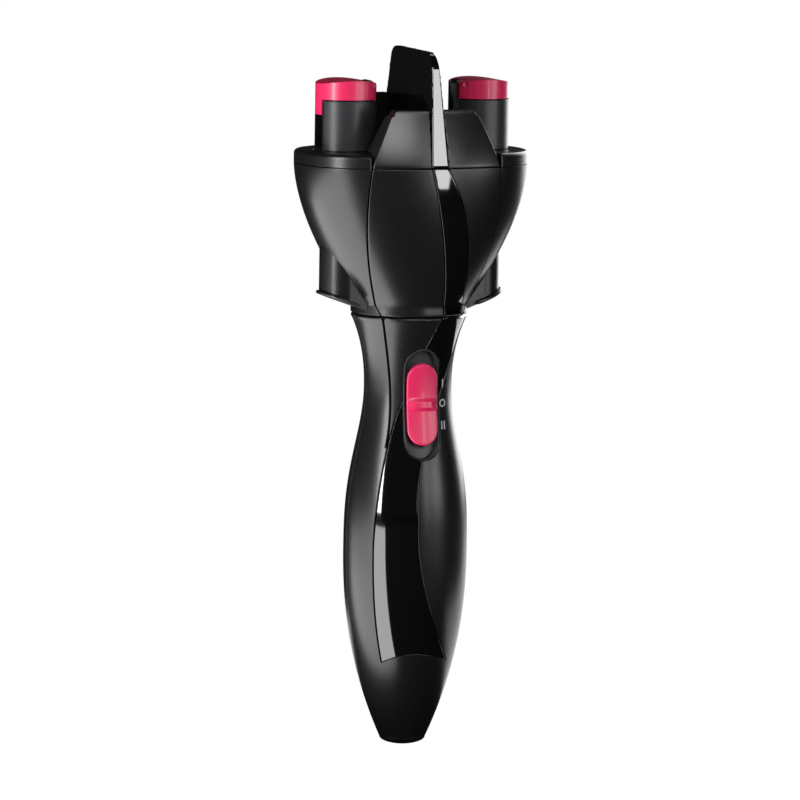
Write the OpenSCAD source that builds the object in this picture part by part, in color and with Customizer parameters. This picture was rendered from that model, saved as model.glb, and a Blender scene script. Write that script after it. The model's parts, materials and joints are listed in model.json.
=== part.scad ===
// Automatic hair braider: a waisted battery handle that carries a turning head.
// Two rotors in the head spin a strand each, and the head itself turns to wind the
// strands together. Heights are counted from the handle's tip, in millimetres.

/* [Handle] */
// Length of the handle, from its tip to the seam under the head
handle_len = 142; // [136:1:160]
// Width across the tip's corners
tip_w = 15.2; // [12:0.2:18]
// Height of the rounded end below the tip's corners
tip_round_h = 2.5; // [1.5:0.1:4]
// Width of the grip at its widest
grip_w = 40.8; // [40:0.2:48]
// Height of the widest place above the tip
grip_h = 65; // [60:1:70]
// Width of the waist below the head
waist_w = 28.8; // [28:0.2:34]
// Distance of the waist below the seam
waist_drop = 24; // [20:1:28]
// Width at the seam under the head
shoulder_w = 38.4; // [36:0.2:44]
// Depth of the handle, front to back, as a share of its width
handle_flatness = 0.94; // [0.9:0.01:1]
// Wall of the handle's shells
shell_wall = 2.2; // [1.6:0.1:2.4]
// Thickness of the glossy inlay on the handle's front
inlay_t = 1; // [0.6:0.1:1.2]
// Height of the inlay's lower end above the tip
inlay_foot_h = 29; // [24:1:34]

/* [Switch] */
// Distance of the switch's middle below the seam
switch_drop = 28.3; // [28:0.1:32]
// Width of the switch recess
recess_w = 12.4; // [11.6:0.1:13]
// Length of the switch recess
recess_len = 36.2; // [34:0.1:38]
// Depth of the recess's floor below the handle's skin
recess_depth = 2.6; // [2.2:0.1:3]
// Thickness of the recess's floor and walls
recess_wall = 0.8; // [0.6:0.1:1]
// Width of the sliding button
slider_w = 10.4; // [9:0.1:10.6]
// Travel of the button from its middle, each way
slider_travel = 3.7; // [2.5:0.1:4]
// Height of the button above the handle's skin
slider_rise = 0.8; // [0.4:0.1:1.4]
// Thickness of the button
slider_t = 2; // [1.4:0.1:2.2]
// Width of the button's stem
stem_w = 3; // [2:0.1:4]
// Length of the button's stem along the handle
stem_len = 6; // [4:0.1:7]

/* [Batteries] */
// Diameter of one cell
cell_d = 14.5; // [13.5:0.1:14.5]
// Length of one cell
cell_len = 50.5; // [44.5:0.1:50.5]
// Distance between the two cells' axes
cell_pitch = 14.9; // [14.8:0.1:15]
// Height of the cells' lower ends above the tip
cell_base_h = 37; // [36.5:0.1:38]
// Space between a cell and the tray round it
cell_gap = 0.25; // [0.1:0.05:0.4]
// Length that the contact spring takes under a cell
spring_len = 2.6; // [2:0.1:3]
// Thickness of the contact plates
contact_t = 0.4; // [0.3:0.1:0.6]
// Thickness of the tray's end walls
tray_wall = 1.4; // [1:0.1:2]
// Width of the battery cover
cover_w = 29; // [26:0.5:30]
// Thickness of the battery cover
cover_t = 2; // [1.5:0.1:2.2]
// Gap round the battery cover
cover_gap = 0.2; // [0.1:0.05:0.4]

/* [Drive] */
// Diameter of the motor's can
motor_d = 15.5; // [14:0.1:15.8]
// Distance across the motor can's flats
motor_flat = 12; // [10:0.5:12]
// Length of the motor's can
motor_len = 18; // [16:0.5:18.5]
// Diameter of the gearbox's can
gearbox_d = 16; // [15:0.1:17]
// Length of the gearbox's can
gearbox_len = 15; // [13:0.5:16]
// Diameter of the drive shaft
shaft_d = 4; // [3:0.1:5]
// Depth of the shaft in the gearbox
shaft_grip = 8; // [6:0.5:10]
// Outer diameter of the one-way clutch on the shaft
shaft_clutch_d = 8; // [7.5:0.1:9]
// Length of the one-way clutch on the shaft
shaft_clutch_len = 8; // [6:0.5:10]
// Outer diameter of the head's collar in the neck
collar_d = 18; // [16:0.2:18.6]
// Outer diameter of the one-way clutch in the neck
neck_clutch_d = 24; // [22.5:0.1:25]
// Thickness of the neck plate
neck_plate_t = 4.2; // [3.5:0.1:5]
// Thickness of the retaining flange below the neck plate
collar_flange_t = 1.6; // [1.2:0.1:2]
// Radial clearance of running fits
running_gap = 0.05; // [0.02:0.01:0.08]

/* [Head] */
// Gap between the handle and the head
seam_gap = 0.6; // [0.4:0.1:1.2]
// Height of the bowl, from the seam to the deck
bowl_h = 48.8; // [47:0.2:56]
// Height above the seam at which the bowl starts to flare
flare_start = 3.4; // [2:0.1:5]
// Width of the head at the deck
head_w = 77.5; // [77:0.5:84]
// Depth of the head at the deck, front to back
head_d = 54; // [52:0.5:60]
// Thickness of the head's skins
skin_t = 2; // [1.5:0.1:2.2]
// Width of the groove between two skins
groove_w = 0.3; // [0.2:0.05:0.5]
// Width of the front panel at the seam
panel_foot_w = 28.4; // [26:0.2:30]
// Width of the front panel at its widest
panel_w = 45.2; // [43:0.2:47]
// Thickness of the deck
deck_t = 4.2; // [3:0.1:4.6]
// Height of the front nose above the seam of the deck
nose_front_h = 18.4; // [16:0.2:22]
// Height of the rear nose above the seam of the deck
nose_rear_h = 21.4; // [19:0.2:24]
// Width of a nose at its top
nose_top_w = 28.4; // [24:0.2:34]
// Lean of a nose's outer face
nose_lean = 5; // [3:0.5:7]
// Distance of the noses' inner faces from the middle
nose_inner = 13; // [12.6:0.1:14.5]
// Height of the fin above the seam of the deck
fin_h = 37; // [30:0.2:40]
// Drop of the fin's top towards its front
fin_drop = 0.2; // [0:0.1:4]
// Thickness of the fin at its foot
fin_foot_t = 5.6; // [4:0.1:6]
// Thickness of the fin at its top
fin_top_t = 2.2; // [1.6:0.1:3]

/* [Rotors] */
// Width of the deck's ledge outside a tower
deck_ledge = 5.85; // [5.4:0.05:6.6]
// Module of the rotor gears
gear_module = 1; // [0.96:0.01:1.04]
// Thickness of the rotor gears
gear_t = 6; // [4:0.5:6.5]
// Diameter of a rotor's tower
tower_d = 19.8; // [18.6:0.1:20.2]
// Height of a tower's body above the seam of the deck
tower_h = 20.6; // [17:0.2:23]
// Gap between a tower and the deck round it
tower_gap = 0.35; // [0.3:0.05:0.6]
// Outer diameter of a rotor's tube
tube_d = 12.8; // [11.6:0.1:13.4]
// Diameter of the hole through a rotor
bore_d = 10; // [8:0.1:10.4]
// Width of the strand slot in a tower's outer side
slot_w = 7; // [5:0.1:8]
// Thickness of the panels on a tower
tower_panel_t = 0.8; // [0.6:0.1:1.2]
// Width of the plain wall on a tower's inner side
inner_wall_w = 8.4; // [7.4:0.1:9.4]
// Outer diameter of the housing round a tube
pod_d = 15.6; // [15.2:0.1:16.6]
// Slant of the housing's lower face
pod_slant = 20; // [10:1:22]
// Height of the slanted face above the seam, on a rotor's axis
pod_foot_h = 3.4; // [3.2:0.1:5]
// Overhang of the rolled lip
lip_out = 1.6; // [1:0.1:2]
// Thickness of the rolled lip
lip_t = 1.2; // [0.8:0.1:1.4]

/* [Clips] */
// Height of a clip's cap
cap_h = 6.2; // [5.8:0.1:7]
// Rise of the cap's arched top at its middle
cap_arch = 1.2; // [0.6:0.1:1.6]
// Length of the tab below the cap
tab_len = 5; // [3:0.1:6]
// Thickness of the tab
tab_t = 1.8; // [1.2:0.1:2.4]
// Diameter of the clip's hinge pin
pin_d = 1.6; // [1.2:0.1:2]
// Width of the knuckle that carries the pin
knuckle_w = 4.8; // [4:0.1:5.2]

/* [Hidden] */
$fn = 64;

satin_black = [0.11, 0.11, 0.12];
gloss_black = [0.03, 0.03, 0.035];
dark_grey = [0.24, 0.24, 0.26];
pink = [0.88, 0.16, 0.38];
steel = [0.72, 0.73, 0.75];
cell_green = [0.25, 0.5, 0.35];
nylon = [0.9, 0.89, 0.84];

tiny = 0.01;
margin = 1;
full_turn = 360;
section_points = 48;
plate_gap = 0.1;
waist_h = handle_len - waist_drop;
switch_h = handle_len - switch_drop;
base_h = handle_len + seam_gap;
deck_h = base_h + bowl_h;
deck_top_h = deck_h + deck_t;
flare_h = base_h + flare_start;

// Levels of the drive below the seam
collar_play = 0.4;
gearbox_nose_h = 0.8;
gearbox_drop = 1.2;
plate_base_h = handle_len - neck_plate_t;
flange_base_h = plate_base_h - collar_play - collar_flange_t;
gearbox_top_h = flange_base_h - gearbox_drop;
gearbox_base_h = gearbox_top_h - gearbox_len;
motor_base_h = gearbox_base_h - motor_len;

// Levels inside the head
base_t = 1.8;
plate_t = 2;
gear_drop = 12;
gear_base_h = deck_h - gear_drop;
gear_plate_h = gear_base_h - 2 * plate_t;
housing_foot_h = base_h + base_t + plate_gap;

// Curves of the handle
function ease(u) = (1 - cos(180 * u)) / 2;
function mix(a, b, t) = a + (b - a) * t;
function within(t) = max(0, min(1, t));
tip_swell = 2.2;
waist_blend = 1.4;
shoulder_blend = 2.3;
tip_flat = 0.25;

// Half width of the handle at a height above the tip
function handle_half_w(h) =
  h < tip_round_h ?
    tip_w / 2 * max(tip_flat, sqrt(1 - pow(1 - max(h, 0) / tip_round_h, 2)))
  : h < grip_h ?
    let (t = (h - tip_round_h) / (grip_h - tip_round_h))
    mix(tip_w / 2, grip_w / 2, 1 - pow(1 - t, tip_swell))
  : h < waist_h ?
    let (t = (h - grip_h) / (waist_h - grip_h))
    mix(grip_w / 2, waist_w / 2, ease(pow(t, waist_blend)))
  : let (t = within((h - waist_h) / waist_drop))
    mix(waist_w / 2, shoulder_w / 2, pow(t, shoulder_blend));
function handle_half_d(h) = handle_flatness * handle_half_w(h);

// Half width and half depth of the head, and how square its section is
bowl_swell = 1.7;
head_squareness = 2.3;
function bowl_share(h) = within((h - flare_h) / (deck_h - flare_h));
function bowl_swept(h) = 1 - pow(1 - bowl_share(h), bowl_swell);
function head_half_w(h) = mix(shoulder_w / 2, head_w / 2, bowl_swept(h));
function head_half_d(h) =
  mix(handle_flatness * shoulder_w / 2, head_d / 2, bowl_swept(h));
function head_power(h) = mix(2, head_squareness, bowl_share(h));

// A point of an oval of half sizes w and d at a parameter angle
function oval(w, d, power, angle) = [
  w * sign(cos(angle)) * pow(abs(cos(angle)), 2 / power),
  d * sign(sin(angle)) * pow(abs(sin(angle)), 2 / power),
];
function handle_point(h, angle, inset) =
  let (p = oval(handle_half_w(h) - inset, handle_half_d(h) - inset, 2, angle))
  [p[0], p[1], h];
function head_point(h, angle, inset) =
  let (p = oval(head_half_w(h) - inset, head_half_d(h) - inset, head_power(h), angle))
  [p[0], p[1], h];

// Parameter angle at which a section's front passes a distance x from the middle
front = 270;
rear = 90;
function front_angle(x, w, power) =
  front + sign(x) * asin(min(1, pow(abs(x) / w, power / 2)));
function handle_angle(x, h) = front_angle(x, handle_half_w(h), 2);
function head_angle(x, h) = front_angle(x, head_half_w(h), head_power(h));

// Borders of the glossy inlay, as distances from the middle, right positive
inlay_left_top = 5.4;
inlay_left_far = -15.6;
inlay_left_foot = -11.7;
inlay_left_far_h = 66;
inlay_right_top = 18.3;
inlay_right_near = -2.75;
inlay_right_foot = 10.4;
inlay_right_near_h = 82;
inlay_right_bend_h = 72;
inlay_foot_arc = 3.2;
inlay_left_rise = 1.9;
inlay_left_fall = 2.3;
inlay_right_rise = 1.5;
inlay_right_fall = 1.85;
function inlay_left(h) =
  h > inlay_left_far_h ?
    mix(inlay_left_far, inlay_left_top,
      pow((h - inlay_left_far_h) / (handle_len - inlay_left_far_h), inlay_left_rise))
  : mix(inlay_left_far, inlay_left_foot,
      pow((inlay_left_far_h - h) / (inlay_left_far_h - inlay_foot_h), inlay_left_fall));
function inlay_right(h) =
  h > inlay_right_near_h ?
    mix(inlay_right_near, inlay_right_top,
      pow((h - inlay_right_near_h) / (handle_len - inlay_right_near_h), inlay_right_rise))
  : mix(inlay_right_near, inlay_right_foot,
      pow(within((inlay_right_bend_h - h) / (inlay_right_bend_h - inlay_foot_h)),
        inlay_right_fall));

// Borders of the head's front panel and of its inlay
panel_peak = 0.79;
panel_strip_foot = 0.8;
head_inlay_left_foot = 5.8;
head_inlay_right_foot = panel_foot_w / 2 - panel_strip_foot;
head_inlay_left_bend = 1.5;
head_inlay_right_bend = 2.8;
function head_share(h) = (h - base_h) / bowl_h;
function panel_half_w(h) =
  panel_w / 2 - (panel_w - panel_foot_w) / 2 * pow(1 - head_share(h) / panel_peak, 2);
function head_inlay_left(h) =
  mix(head_inlay_left_foot, -fin_foot_t / 2, pow(head_share(h), head_inlay_left_bend));
function head_inlay_right(h) =
  mix(head_inlay_right_foot, fin_foot_t / 2, pow(head_share(h), head_inlay_right_bend));

// Evenly spaced values from a to b, and evenly spaced angles round a section
function steps(a, b, n) = [for (i = [0:n]) mix(a, b, i / n)];
function ring_angles(n) = [for (i = [0:n - 1]) full_turn * i / n];

// A closed solid through a list of rings, each turning anticlockwise seen from above
module loft(rings) {
  n = len(rings[0]);
  last = len(rings) - 1;
  sides = [for (i = [0:last - 1], j = [0:n - 1])
    let (a = i * n + j, b = i * n + (j + 1) % n)
    each [[a, a + n, b + n], [a, b + n, b]]];
  foot = [for (j = [0:n - 1]) j];
  top = [for (j = [n - 1:-1:0]) last * n + j];
  polyhedron([for (r = rings) each r], concat(sides, [foot, top]), convexity = 4);
}

// A curved sheet between two grids of points, its rows anticlockwise seen from above
module sheet(outer, inner) {
  rows = len(outer);
  cols = len(outer[0]);
  skip = rows * cols;
  faces = [for (i = [0:rows - 2], j = [0:cols - 2])
    let (a = i * cols + j, b = a + 1, c = a + cols, d = c + 1)
    each [[a, c, d], [a, d, b],
      [a + skip, d + skip, c + skip], [a + skip, b + skip, d + skip]]];
  ends = [for (j = [0:cols - 2])
    let (a = j, b = j + 1, c = (rows - 1) * cols + j, d = c + 1)
    each [[a, b, b + skip], [a, b + skip, a + skip],
      [c, d + skip, d], [c, c + skip, d + skip]]];
  edges = [for (i = [0:rows - 2])
    let (a = i * cols, b = a + cols, c = a + cols - 1, d = c + cols)
    each [[a + skip, b + skip, b], [a + skip, b, a],
      [c, d, d + skip], [c, d + skip, c + skip]]];
  polyhedron(concat([for (r = outer) each r], [for (r = inner) each r]),
    concat(faces, ends, edges), convexity = 6);
}

module from_tip() {
  translate([0, 0, -grip_h]) children();
}

// A slot outline with round ends, standing along Y of the sheet
module slot_outline(w, len) {
  square([w, len - w], center = true);
  for (y = [-1, 1]) translate([0, y * (len - w) / 2]) circle(d = w);
}

// A rectangle with round corners
module round_rect(w, len, r) {
  square([w - 2 * r, len], center = true);
  square([w, len - 2 * r], center = true);
  for (x = [-1, 1], y = [-1, 1])
    translate([x * (w / 2 - r), y * (len / 2 - r)]) circle(r = r);
}

// Stands a flat outline up in front of the handle, to cut or keep what it covers
module through_front(h, depth) {
  translate([0, 0, h]) rotate([90, 0, 0]) linear_extrude(depth) children();
}
module through_rear(h, depth) {
  translate([0, depth, h]) rotate([90, 0, 0]) linear_extrude(depth) children();
}

// ---- Handle shells ----
tip_solid_h = 5;
shell_rows = 34;
shell_cols = 24;
handle_deep = grip_w;
boss_d = 5;
screw_d = 2.2;
screw_head_d = 4.2;
screw_head_t = 1.6;
screw_sink = 1.2;
screw_lower_h = 16;
cross_w = 0.6;
cross_share = 2 / 3;
cross_depth = 0.7;

module handle_wall(a0, a1) {
  rows = steps(tip_solid_h, handle_len, shell_rows);
  sheet(
    [for (h = rows) [for (a = steps(a0, a1, shell_cols)) handle_point(h, a, 0)]],
    [for (h = rows) [for (a = steps(a0, a1, shell_cols)) handle_point(h, a, shell_wall)]]);
  tip_rows = concat(
    [for (s = [0:4]) tip_round_h * (1 - cos(90 * s / 4))],
    [mix(tip_round_h, tip_solid_h, 0.5), tip_solid_h]);
  loft([for (h = tip_rows) [for (a = steps(a0, a1, shell_cols)) handle_point(h, a, 0)]]);
}

// Inside of the handle between two heights, for pieces that fit in it
module handle_inside(h0, h1, inset, rows = 6) {
  loft([for (h = steps(h0, h1, rows))
    [for (a = ring_angles(section_points)) handle_point(h, a, inset)]]);
}

module handle_front_shell() {
  color(satin_black) from_tip()
  difference() {
    union() {
      handle_wall(180, 360);
      for (h = [screw_lower_h, screw_upper_h])
        translate([0, 0, h]) rotate([90, 0, 0])
          cylinder(d = boss_d, h = handle_half_d(h) - shell_wall / 2);
    }
    inlay_sheet(-margin, inlay_t + running_gap, groove_w / 2);
    through_front(switch_h, handle_deep) slot_outline(recess_w, recess_len);
    for (h = [screw_lower_h, screw_upper_h])
      translate([0, tiny, h]) rotate([90, 0, 0])
        cylinder(d = screw_d, h = screw_len - screw_pass(h) + margin);
  }
}

module handle_rear_shell() {
  color(satin_black) from_tip()
  difference() {
    union() {
      handle_wall(0, 180);
      for (h = [screw_lower_h, screw_upper_h])
        translate([0, handle_half_d(h) - shell_wall / 2, h]) rotate([90, 0, 0])
          cylinder(d = boss_d, h = handle_half_d(h) - shell_wall / 2);
    }
    translate([0, 0, cover_mid_h]) through_rear(0, handle_deep)
      round_rect(cover_w + 2 * cover_gap, cover_len + 2 * cover_gap, cover_r + cover_gap);
    for (h = [screw_lower_h, screw_upper_h]) translate([0, -tiny, h]) rotate([-90, 0, 0]) {
      cylinder(d = screw_d + 2 * running_gap, h = handle_deep);
      translate([0, 0, screw_seat(h)]) cylinder(d = screw_head_d + 2 * cover_gap, h = handle_deep);
    }
  }
}

// ---- Glossy inlay of the handle ----
inlay_rows = 30;
inlay_cols = 10;
function inlay_h(row, u, widen) =
  let (h = mix(inlay_foot_h - widen, handle_len, row / inlay_rows),
    fade = pow(1 - row / inlay_rows, 3))
  h + inlay_foot_arc * (1 - pow(2 * u - 1, 2)) * fade;
function inlay_point(row, col, widen, inset) =
  let (u = col / inlay_cols, h = inlay_h(row, u, widen),
    x = mix(inlay_left(h) - widen, inlay_right(h) + widen, u))
  handle_point(h, handle_angle(x, h), inset);

module inlay_sheet(top_inset, floor_inset, widen) {
  sheet(
    [for (i = [0:inlay_rows]) [for (j = [0:inlay_cols]) inlay_point(i, j, widen, top_inset)]],
    [for (i = [0:inlay_rows]) [for (j = [0:inlay_cols]) inlay_point(i, j, widen, floor_inset)]]);
}

module handle_inlay() {
  color(gloss_black) from_tip()
  difference() {
    inlay_sheet(0, inlay_t, -groove_w / 2);
    through_front(switch_h, handle_deep) slot_outline(recess_w, recess_len);
  }
}

// ---- Battery compartment ----
cover_r = 5;
tray_base_h = cell_base_h - spring_len - contact_t - tray_wall;
tray_top_h = cell_base_h + cell_len + contact_t + tray_wall;
cover_below = 1.6;
cover_above = 0.8;
cover_base_h = tray_base_h - cover_below;
cover_top_h = tray_top_h + cover_above;
cover_len = cover_top_h - cover_base_h;
cover_mid_h = (cover_base_h + cover_top_h) / 2;
tray_bar = 1.2;
tray_front = cell_d / 2 + cell_gap + tray_bar;
tray_rear = 2;
rib_d = 1.2;
rib_pitch = 3;
rib_drop = 12;
rib_len = cover_w / 3;
cover_angle = 60;
cover_rows = 14;
cover_cols = 16;
contact_w = 9;
// Screws, the upper one between the tray and the motor
screw_upper_h = (tray_top_h + motor_base_h) / 2;
screw_len = 16;
function screw_seat(h) = handle_half_d(h) - screw_sink - screw_head_t;
function screw_pass(h) = screw_seat(h);

module battery_cover() {
  color(satin_black) from_tip()
  union() {
    intersection() {
      sheet(
        [for (h = steps(cover_base_h, cover_top_h, cover_rows))
          [for (a = steps(rear - cover_angle, rear + cover_angle, cover_cols))
            handle_point(h, a, 0)]],
        [for (h = steps(cover_base_h, cover_top_h, cover_rows))
          [for (a = steps(rear - cover_angle, rear + cover_angle, cover_cols))
            handle_point(h, a, cover_t)]]);
      through_rear(cover_mid_h, handle_deep) round_rect(cover_w, cover_len, cover_r);
    }
    for (i = [-2:2])
      translate([0, handle_half_d(cover_grip_h(i)) - rib_d / 4, cover_grip_h(i)])
        rotate([0, 90, 0]) cylinder(d = rib_d, h = rib_len, center = true);
  }
}
function cover_grip_h(i) = cover_top_h - rib_drop + i * rib_pitch;

module battery_tray() {
  color(dark_grey) from_tip()
  difference() {
    intersection() {
      translate([-grip_w / 2, -tray_front, tray_base_h])
        cube([grip_w, tray_front + tray_rear, tray_top_h - tray_base_h]);
      handle_inside(tray_base_h - margin, tray_top_h + margin, shell_wall + cover_gap);
    }
    for (x = [-1, 1]) translate([x * cell_pitch / 2, 0, tray_base_h + tray_wall]) {
      cylinder(d = cell_d + 2 * cell_gap, h = tray_top_h - tray_base_h - 2 * tray_wall);
      translate([-cell_d / 2 - cell_gap, 0, 0])
        cube([cell_d + 2 * cell_gap, tray_front, tray_top_h - tray_base_h - 2 * tray_wall]);
    }
    translate([-cell_pitch / 2, -contact_w / 2, tray_base_h + tray_wall])
      cube([cell_pitch, tray_front + contact_w, contact_t + spring_len]);
  }
}

cell_nub_d = 5;
cell_nub_h = 1;
module cell(side, up) {
  translate([side * cell_pitch / 2, 0, cell_base_h + (up ? 0 : cell_len)])
  mirror([0, 0, up ? 0 : 1]) {
    cylinder(d = cell_d, h = cell_len - cell_nub_h);
    cylinder(d = cell_nub_d, h = cell_len);
  }
}
module cell_left() { color(cell_green) from_tip() cell(-1, true); }
module cell_right() { color(cell_green) from_tip() cell(1, false); }

module contact_bridge() {
  color(steel) from_tip()
  translate([0, 0, cell_base_h - spring_len - contact_t / 2])
    cube([cell_pitch + contact_w, contact_w, contact_t], center = true);
}
module contact_top(side) {
  translate([side * cell_pitch / 2, 0, cell_base_h + cell_len + contact_t / 2])
    cube([contact_w, contact_w, contact_t], center = true);
}
module contact_left() { color(steel) from_tip() contact_top(-1); }
module contact_right() { color(steel) from_tip() contact_top(1); }

spring_wire = 0.8;
spring_d = contact_w - 1;
module contact_springs() {
  color(steel) from_tip()
  for (x = [-1, 1]) translate([x * cell_pitch / 2, 0, cell_base_h - spring_len])
    difference() {
      cylinder(d = spring_d, h = spring_len);
      translate([0, 0, -tiny])
        cylinder(d = spring_d - 2 * spring_wire, h = spring_len + 2 * tiny);
    }
}

// ---- Switch ----
slider_end_gap = 0.1;
slider_len = recess_len - 2 * recess_wall - 2 * slider_travel - 2 * slider_end_gap;
stem_drop = 5.7;
stem_h = switch_h - stem_drop;
slot_gap = 0.3;
ridge_w = 8;
ridge_h = 3.2;
ridge_rise = 0.9;
switch_rows = 12;
switch_cols = 8;
carrier_t = 1.2;
carrier_gap = 0.3;
carrier_w = slider_w - 2;
floor_inset = recess_depth + recess_wall;
recess_floor_y = (handle_half_d(waist_h) - floor_inset)
  * sqrt(1 - pow(carrier_w / 2 / (handle_half_w(waist_h) - floor_inset), 2));
carrier_y = recess_floor_y - carrier_gap;
carrier_play = 0.1;
carrier_end = 1;
contacts_y = carrier_y - carrier_t - carrier_play;
contacts_max_t = 2;
contacts_motor_gap = 0.2;
contacts_t = min(contacts_max_t, contacts_y - motor_flat / 2 - contacts_motor_gap);
sheet_half_w = recess_w * 3 / 4;
sheet_half_len = recess_len * 3 / 5;
recess_sink = 0.15;
recess_fit = 0.1;

// A patch of the handle's skin round the switch, between two depths
module switch_sheet(top_inset, floor_inset) {
  rows = steps(switch_h - sheet_half_len, min(switch_h + sheet_half_len, handle_len), switch_rows);
  sheet(
    [for (h = rows) [for (x = steps(-sheet_half_w, sheet_half_w, switch_cols))
      handle_point(h, handle_angle(x, h), top_inset)]],
    [for (h = rows) [for (x = steps(-sheet_half_w, sheet_half_w, switch_cols))
      handle_point(h, handle_angle(x, h), floor_inset)]]);
}

module switch_recess() {
  color(dark_grey) from_tip()
  difference() {
    intersection() {
      switch_sheet(recess_sink, recess_depth + recess_wall);
      through_front(switch_h, handle_deep)
        slot_outline(recess_w - recess_fit, recess_len - recess_fit);
    }
    intersection() {
      switch_sheet(-margin, recess_depth);
      through_front(switch_h, handle_deep)
        slot_outline(recess_w - 2 * recess_wall, recess_len - 2 * recess_wall);
    }
    through_front(stem_h, handle_deep)
      slot_outline(stem_w + 2 * slot_gap, stem_len + 2 * slider_travel + 2 * slot_gap + stem_w);
  }
}

module switch_slider() {
  color(pink) from_tip()
  union() {
    intersection() {
      switch_sheet(-slider_rise, slider_t - slider_rise);
      through_front(switch_h, handle_deep) slot_outline(slider_w, slider_len);
    }
    translate([-ridge_w / 2, 0, switch_h]) intersection() {
      translate([0, -handle_half_d(switch_h) - slider_rise + ridge_h - ridge_rise, 0])
        rotate([0, 90, 0]) cylinder(r = ridge_h, h = ridge_w);
      translate([0, -handle_deep, -ridge_h / 2 - margin])
        cube([ridge_w, handle_deep - handle_half_d(switch_h) + slider_t / 2, ridge_h + 2 * margin]);
    }
    translate([-stem_w / 2, -handle_half_d(stem_h) + slider_t / 2, stem_h - stem_len / 2])
      cube([stem_w, handle_half_d(stem_h) - slider_t / 2 - carrier_y, stem_len]);
  }
}

module switch_carrier() {
  color(nylon) from_tip()
  translate([-carrier_w / 2, -carrier_y, stem_h - stem_len / 2 - carrier_end])
    cube([carrier_w, carrier_t, stem_len + 2 * carrier_end]);
}

module switch_contacts() {
  color(dark_grey) from_tip()
  translate([-slider_w / 2, -contacts_y, stem_h - stem_len / 2 - slider_travel - carrier_end])
    cube([slider_w, contacts_t, stem_len + 2 * slider_travel + 2 * carrier_end]);
}

// ---- Motor, gearbox and neck ----
ring_t = 5;
ring_base_h = gearbox_base_h + 3;
ring_slack = 1;
motor_boss_d = 5;
motor_boss_h = 1.2;
motor_hole_d = 1.2;
motor_hole_x = 4.5;
motor_hole_depth = 1;
gearbox_nose_wall = 1.5;
clutch_floor = 0.2;
clutch_ceiling = 0.4;

module motor() {
  color(steel) from_tip()
  difference() {
    union() {
      intersection() {
        translate([0, 0, motor_base_h]) cylinder(d = motor_d, h = motor_len);
        translate([-motor_d, -motor_flat / 2, motor_base_h])
          cube([2 * motor_d, motor_flat, motor_len]);
      }
      translate([0, 0, motor_base_h - motor_boss_h])
        cylinder(d = motor_boss_d, h = motor_boss_h + tiny);
    }
    for (x = [-1, 1]) translate([x * motor_hole_x, 0, motor_base_h - tiny])
      cylinder(d = motor_hole_d, h = motor_hole_depth);
  }
}

module gearbox() {
  color(steel) from_tip()
  difference() {
    union() {
      translate([0, 0, gearbox_base_h]) cylinder(d = gearbox_d, h = gearbox_len);
      translate([0, 0, gearbox_top_h - tiny])
        cylinder(d = shaft_d + 2 * gearbox_nose_wall, h = gearbox_nose_h + tiny);
    }
    translate([0, 0, gearbox_top_h - shaft_grip])
      cylinder(d = shaft_d + 2 * running_gap, h = shaft_grip + margin);
  }
}

// Ring that holds the gearbox in the waist
module motor_ring() {
  color(dark_grey) from_tip()
  difference() {
    handle_inside(ring_base_h, ring_base_h + ring_t, shell_wall + running_gap, 3);
    cylinder(d = gearbox_d, h = handle_len);
    through_front(switch_h, handle_deep)
      slot_outline(recess_w + ring_slack, recess_len + ring_slack);
  }
}

module neck_plate() {
  color(dark_grey) from_tip()
  difference() {
    handle_inside(plate_base_h, handle_len - clutch_floor, shell_wall + running_gap, 4);
    cylinder(d = neck_clutch_d, h = handle_len);
  }
}

module neck_clutch() {
  color(steel) from_tip()
  translate([0, 0, plate_base_h + clutch_floor]) difference() {
    cylinder(d = neck_clutch_d, h = neck_plate_t - clutch_floor - clutch_ceiling);
    translate([0, 0, -tiny])
      cylinder(d = collar_d + 2 * running_gap, h = neck_plate_t);
  }
}

module shell_screw(h) {
  translate([0, screw_seat(h), h]) rotate([-90, 0, 0]) difference() {
    union() {
      cylinder(d = screw_head_d, h = screw_head_t);
      translate([0, 0, -screw_len]) cylinder(d = screw_d, h = screw_len + tiny);
    }
    for (a = [0, 90]) rotate([0, 0, a])
      translate([-screw_head_d * cross_share / 2, -cross_w / 2, screw_head_t - cross_depth])
        cube([screw_head_d * cross_share, cross_w, margin]);
  }
}
module screw_upper() { color(steel) from_tip() shell_screw(screw_upper_h); }
module screw_lower() { color(steel) from_tip() shell_screw(screw_lower_h); }

// ---- Head, lower part ----
// Both rotors mesh with the sun gear; whole teeth that bring them nearest to the ledge,
// and just enough on a rotor's gear to leave a ring of material round its tube
gear_ring = 1.4;
tooth_in = 1.15;
teeth_sum = round((head_w - 2 * deck_ledge - tower_d) / gear_module);
rotor_teeth = ceil((tube_d + 2 * gear_ring) / gear_module + 2 * tooth_in);
sun_teeth = teeth_sum - rotor_teeth;
rotor_x = gear_module * teeth_sum / 2;
collar_socket = 6;
socket_floor = 1;
shaft_pass = 0.6;
hub_wall = 2;
flange_out = 1.6;
clutch_base_h = base_h + collar_socket + socket_floor;
hub_d = collar_d + 2 * hub_wall;
flange_d = collar_d + 2 * flange_out;

module head_collar() {
  color(dark_grey) from_tip()
  rotate_extrude()
    polygon([
      [shaft_d / 2 + shaft_pass, flange_base_h],
      [flange_d / 2, flange_base_h],
      [flange_d / 2, plate_base_h - collar_play],
      [collar_d / 2, plate_base_h - collar_play],
      [collar_d / 2, base_h + collar_socket],
      [shaft_d / 2 + shaft_pass, base_h + collar_socket],
    ]);
}

module head_base() {
  color(satin_black) from_tip()
  difference() {
    translate([0, 0, base_h]) linear_extrude(base_t)
      polygon([for (a = ring_angles(section_points))
        let (p = head_point(base_h, a, skin_t + running_gap)) [p[0], p[1]]]);
    translate([0, 0, base_h - margin]) cylinder(d = collar_d, h = base_t + 2 * margin);
  }
}

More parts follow.
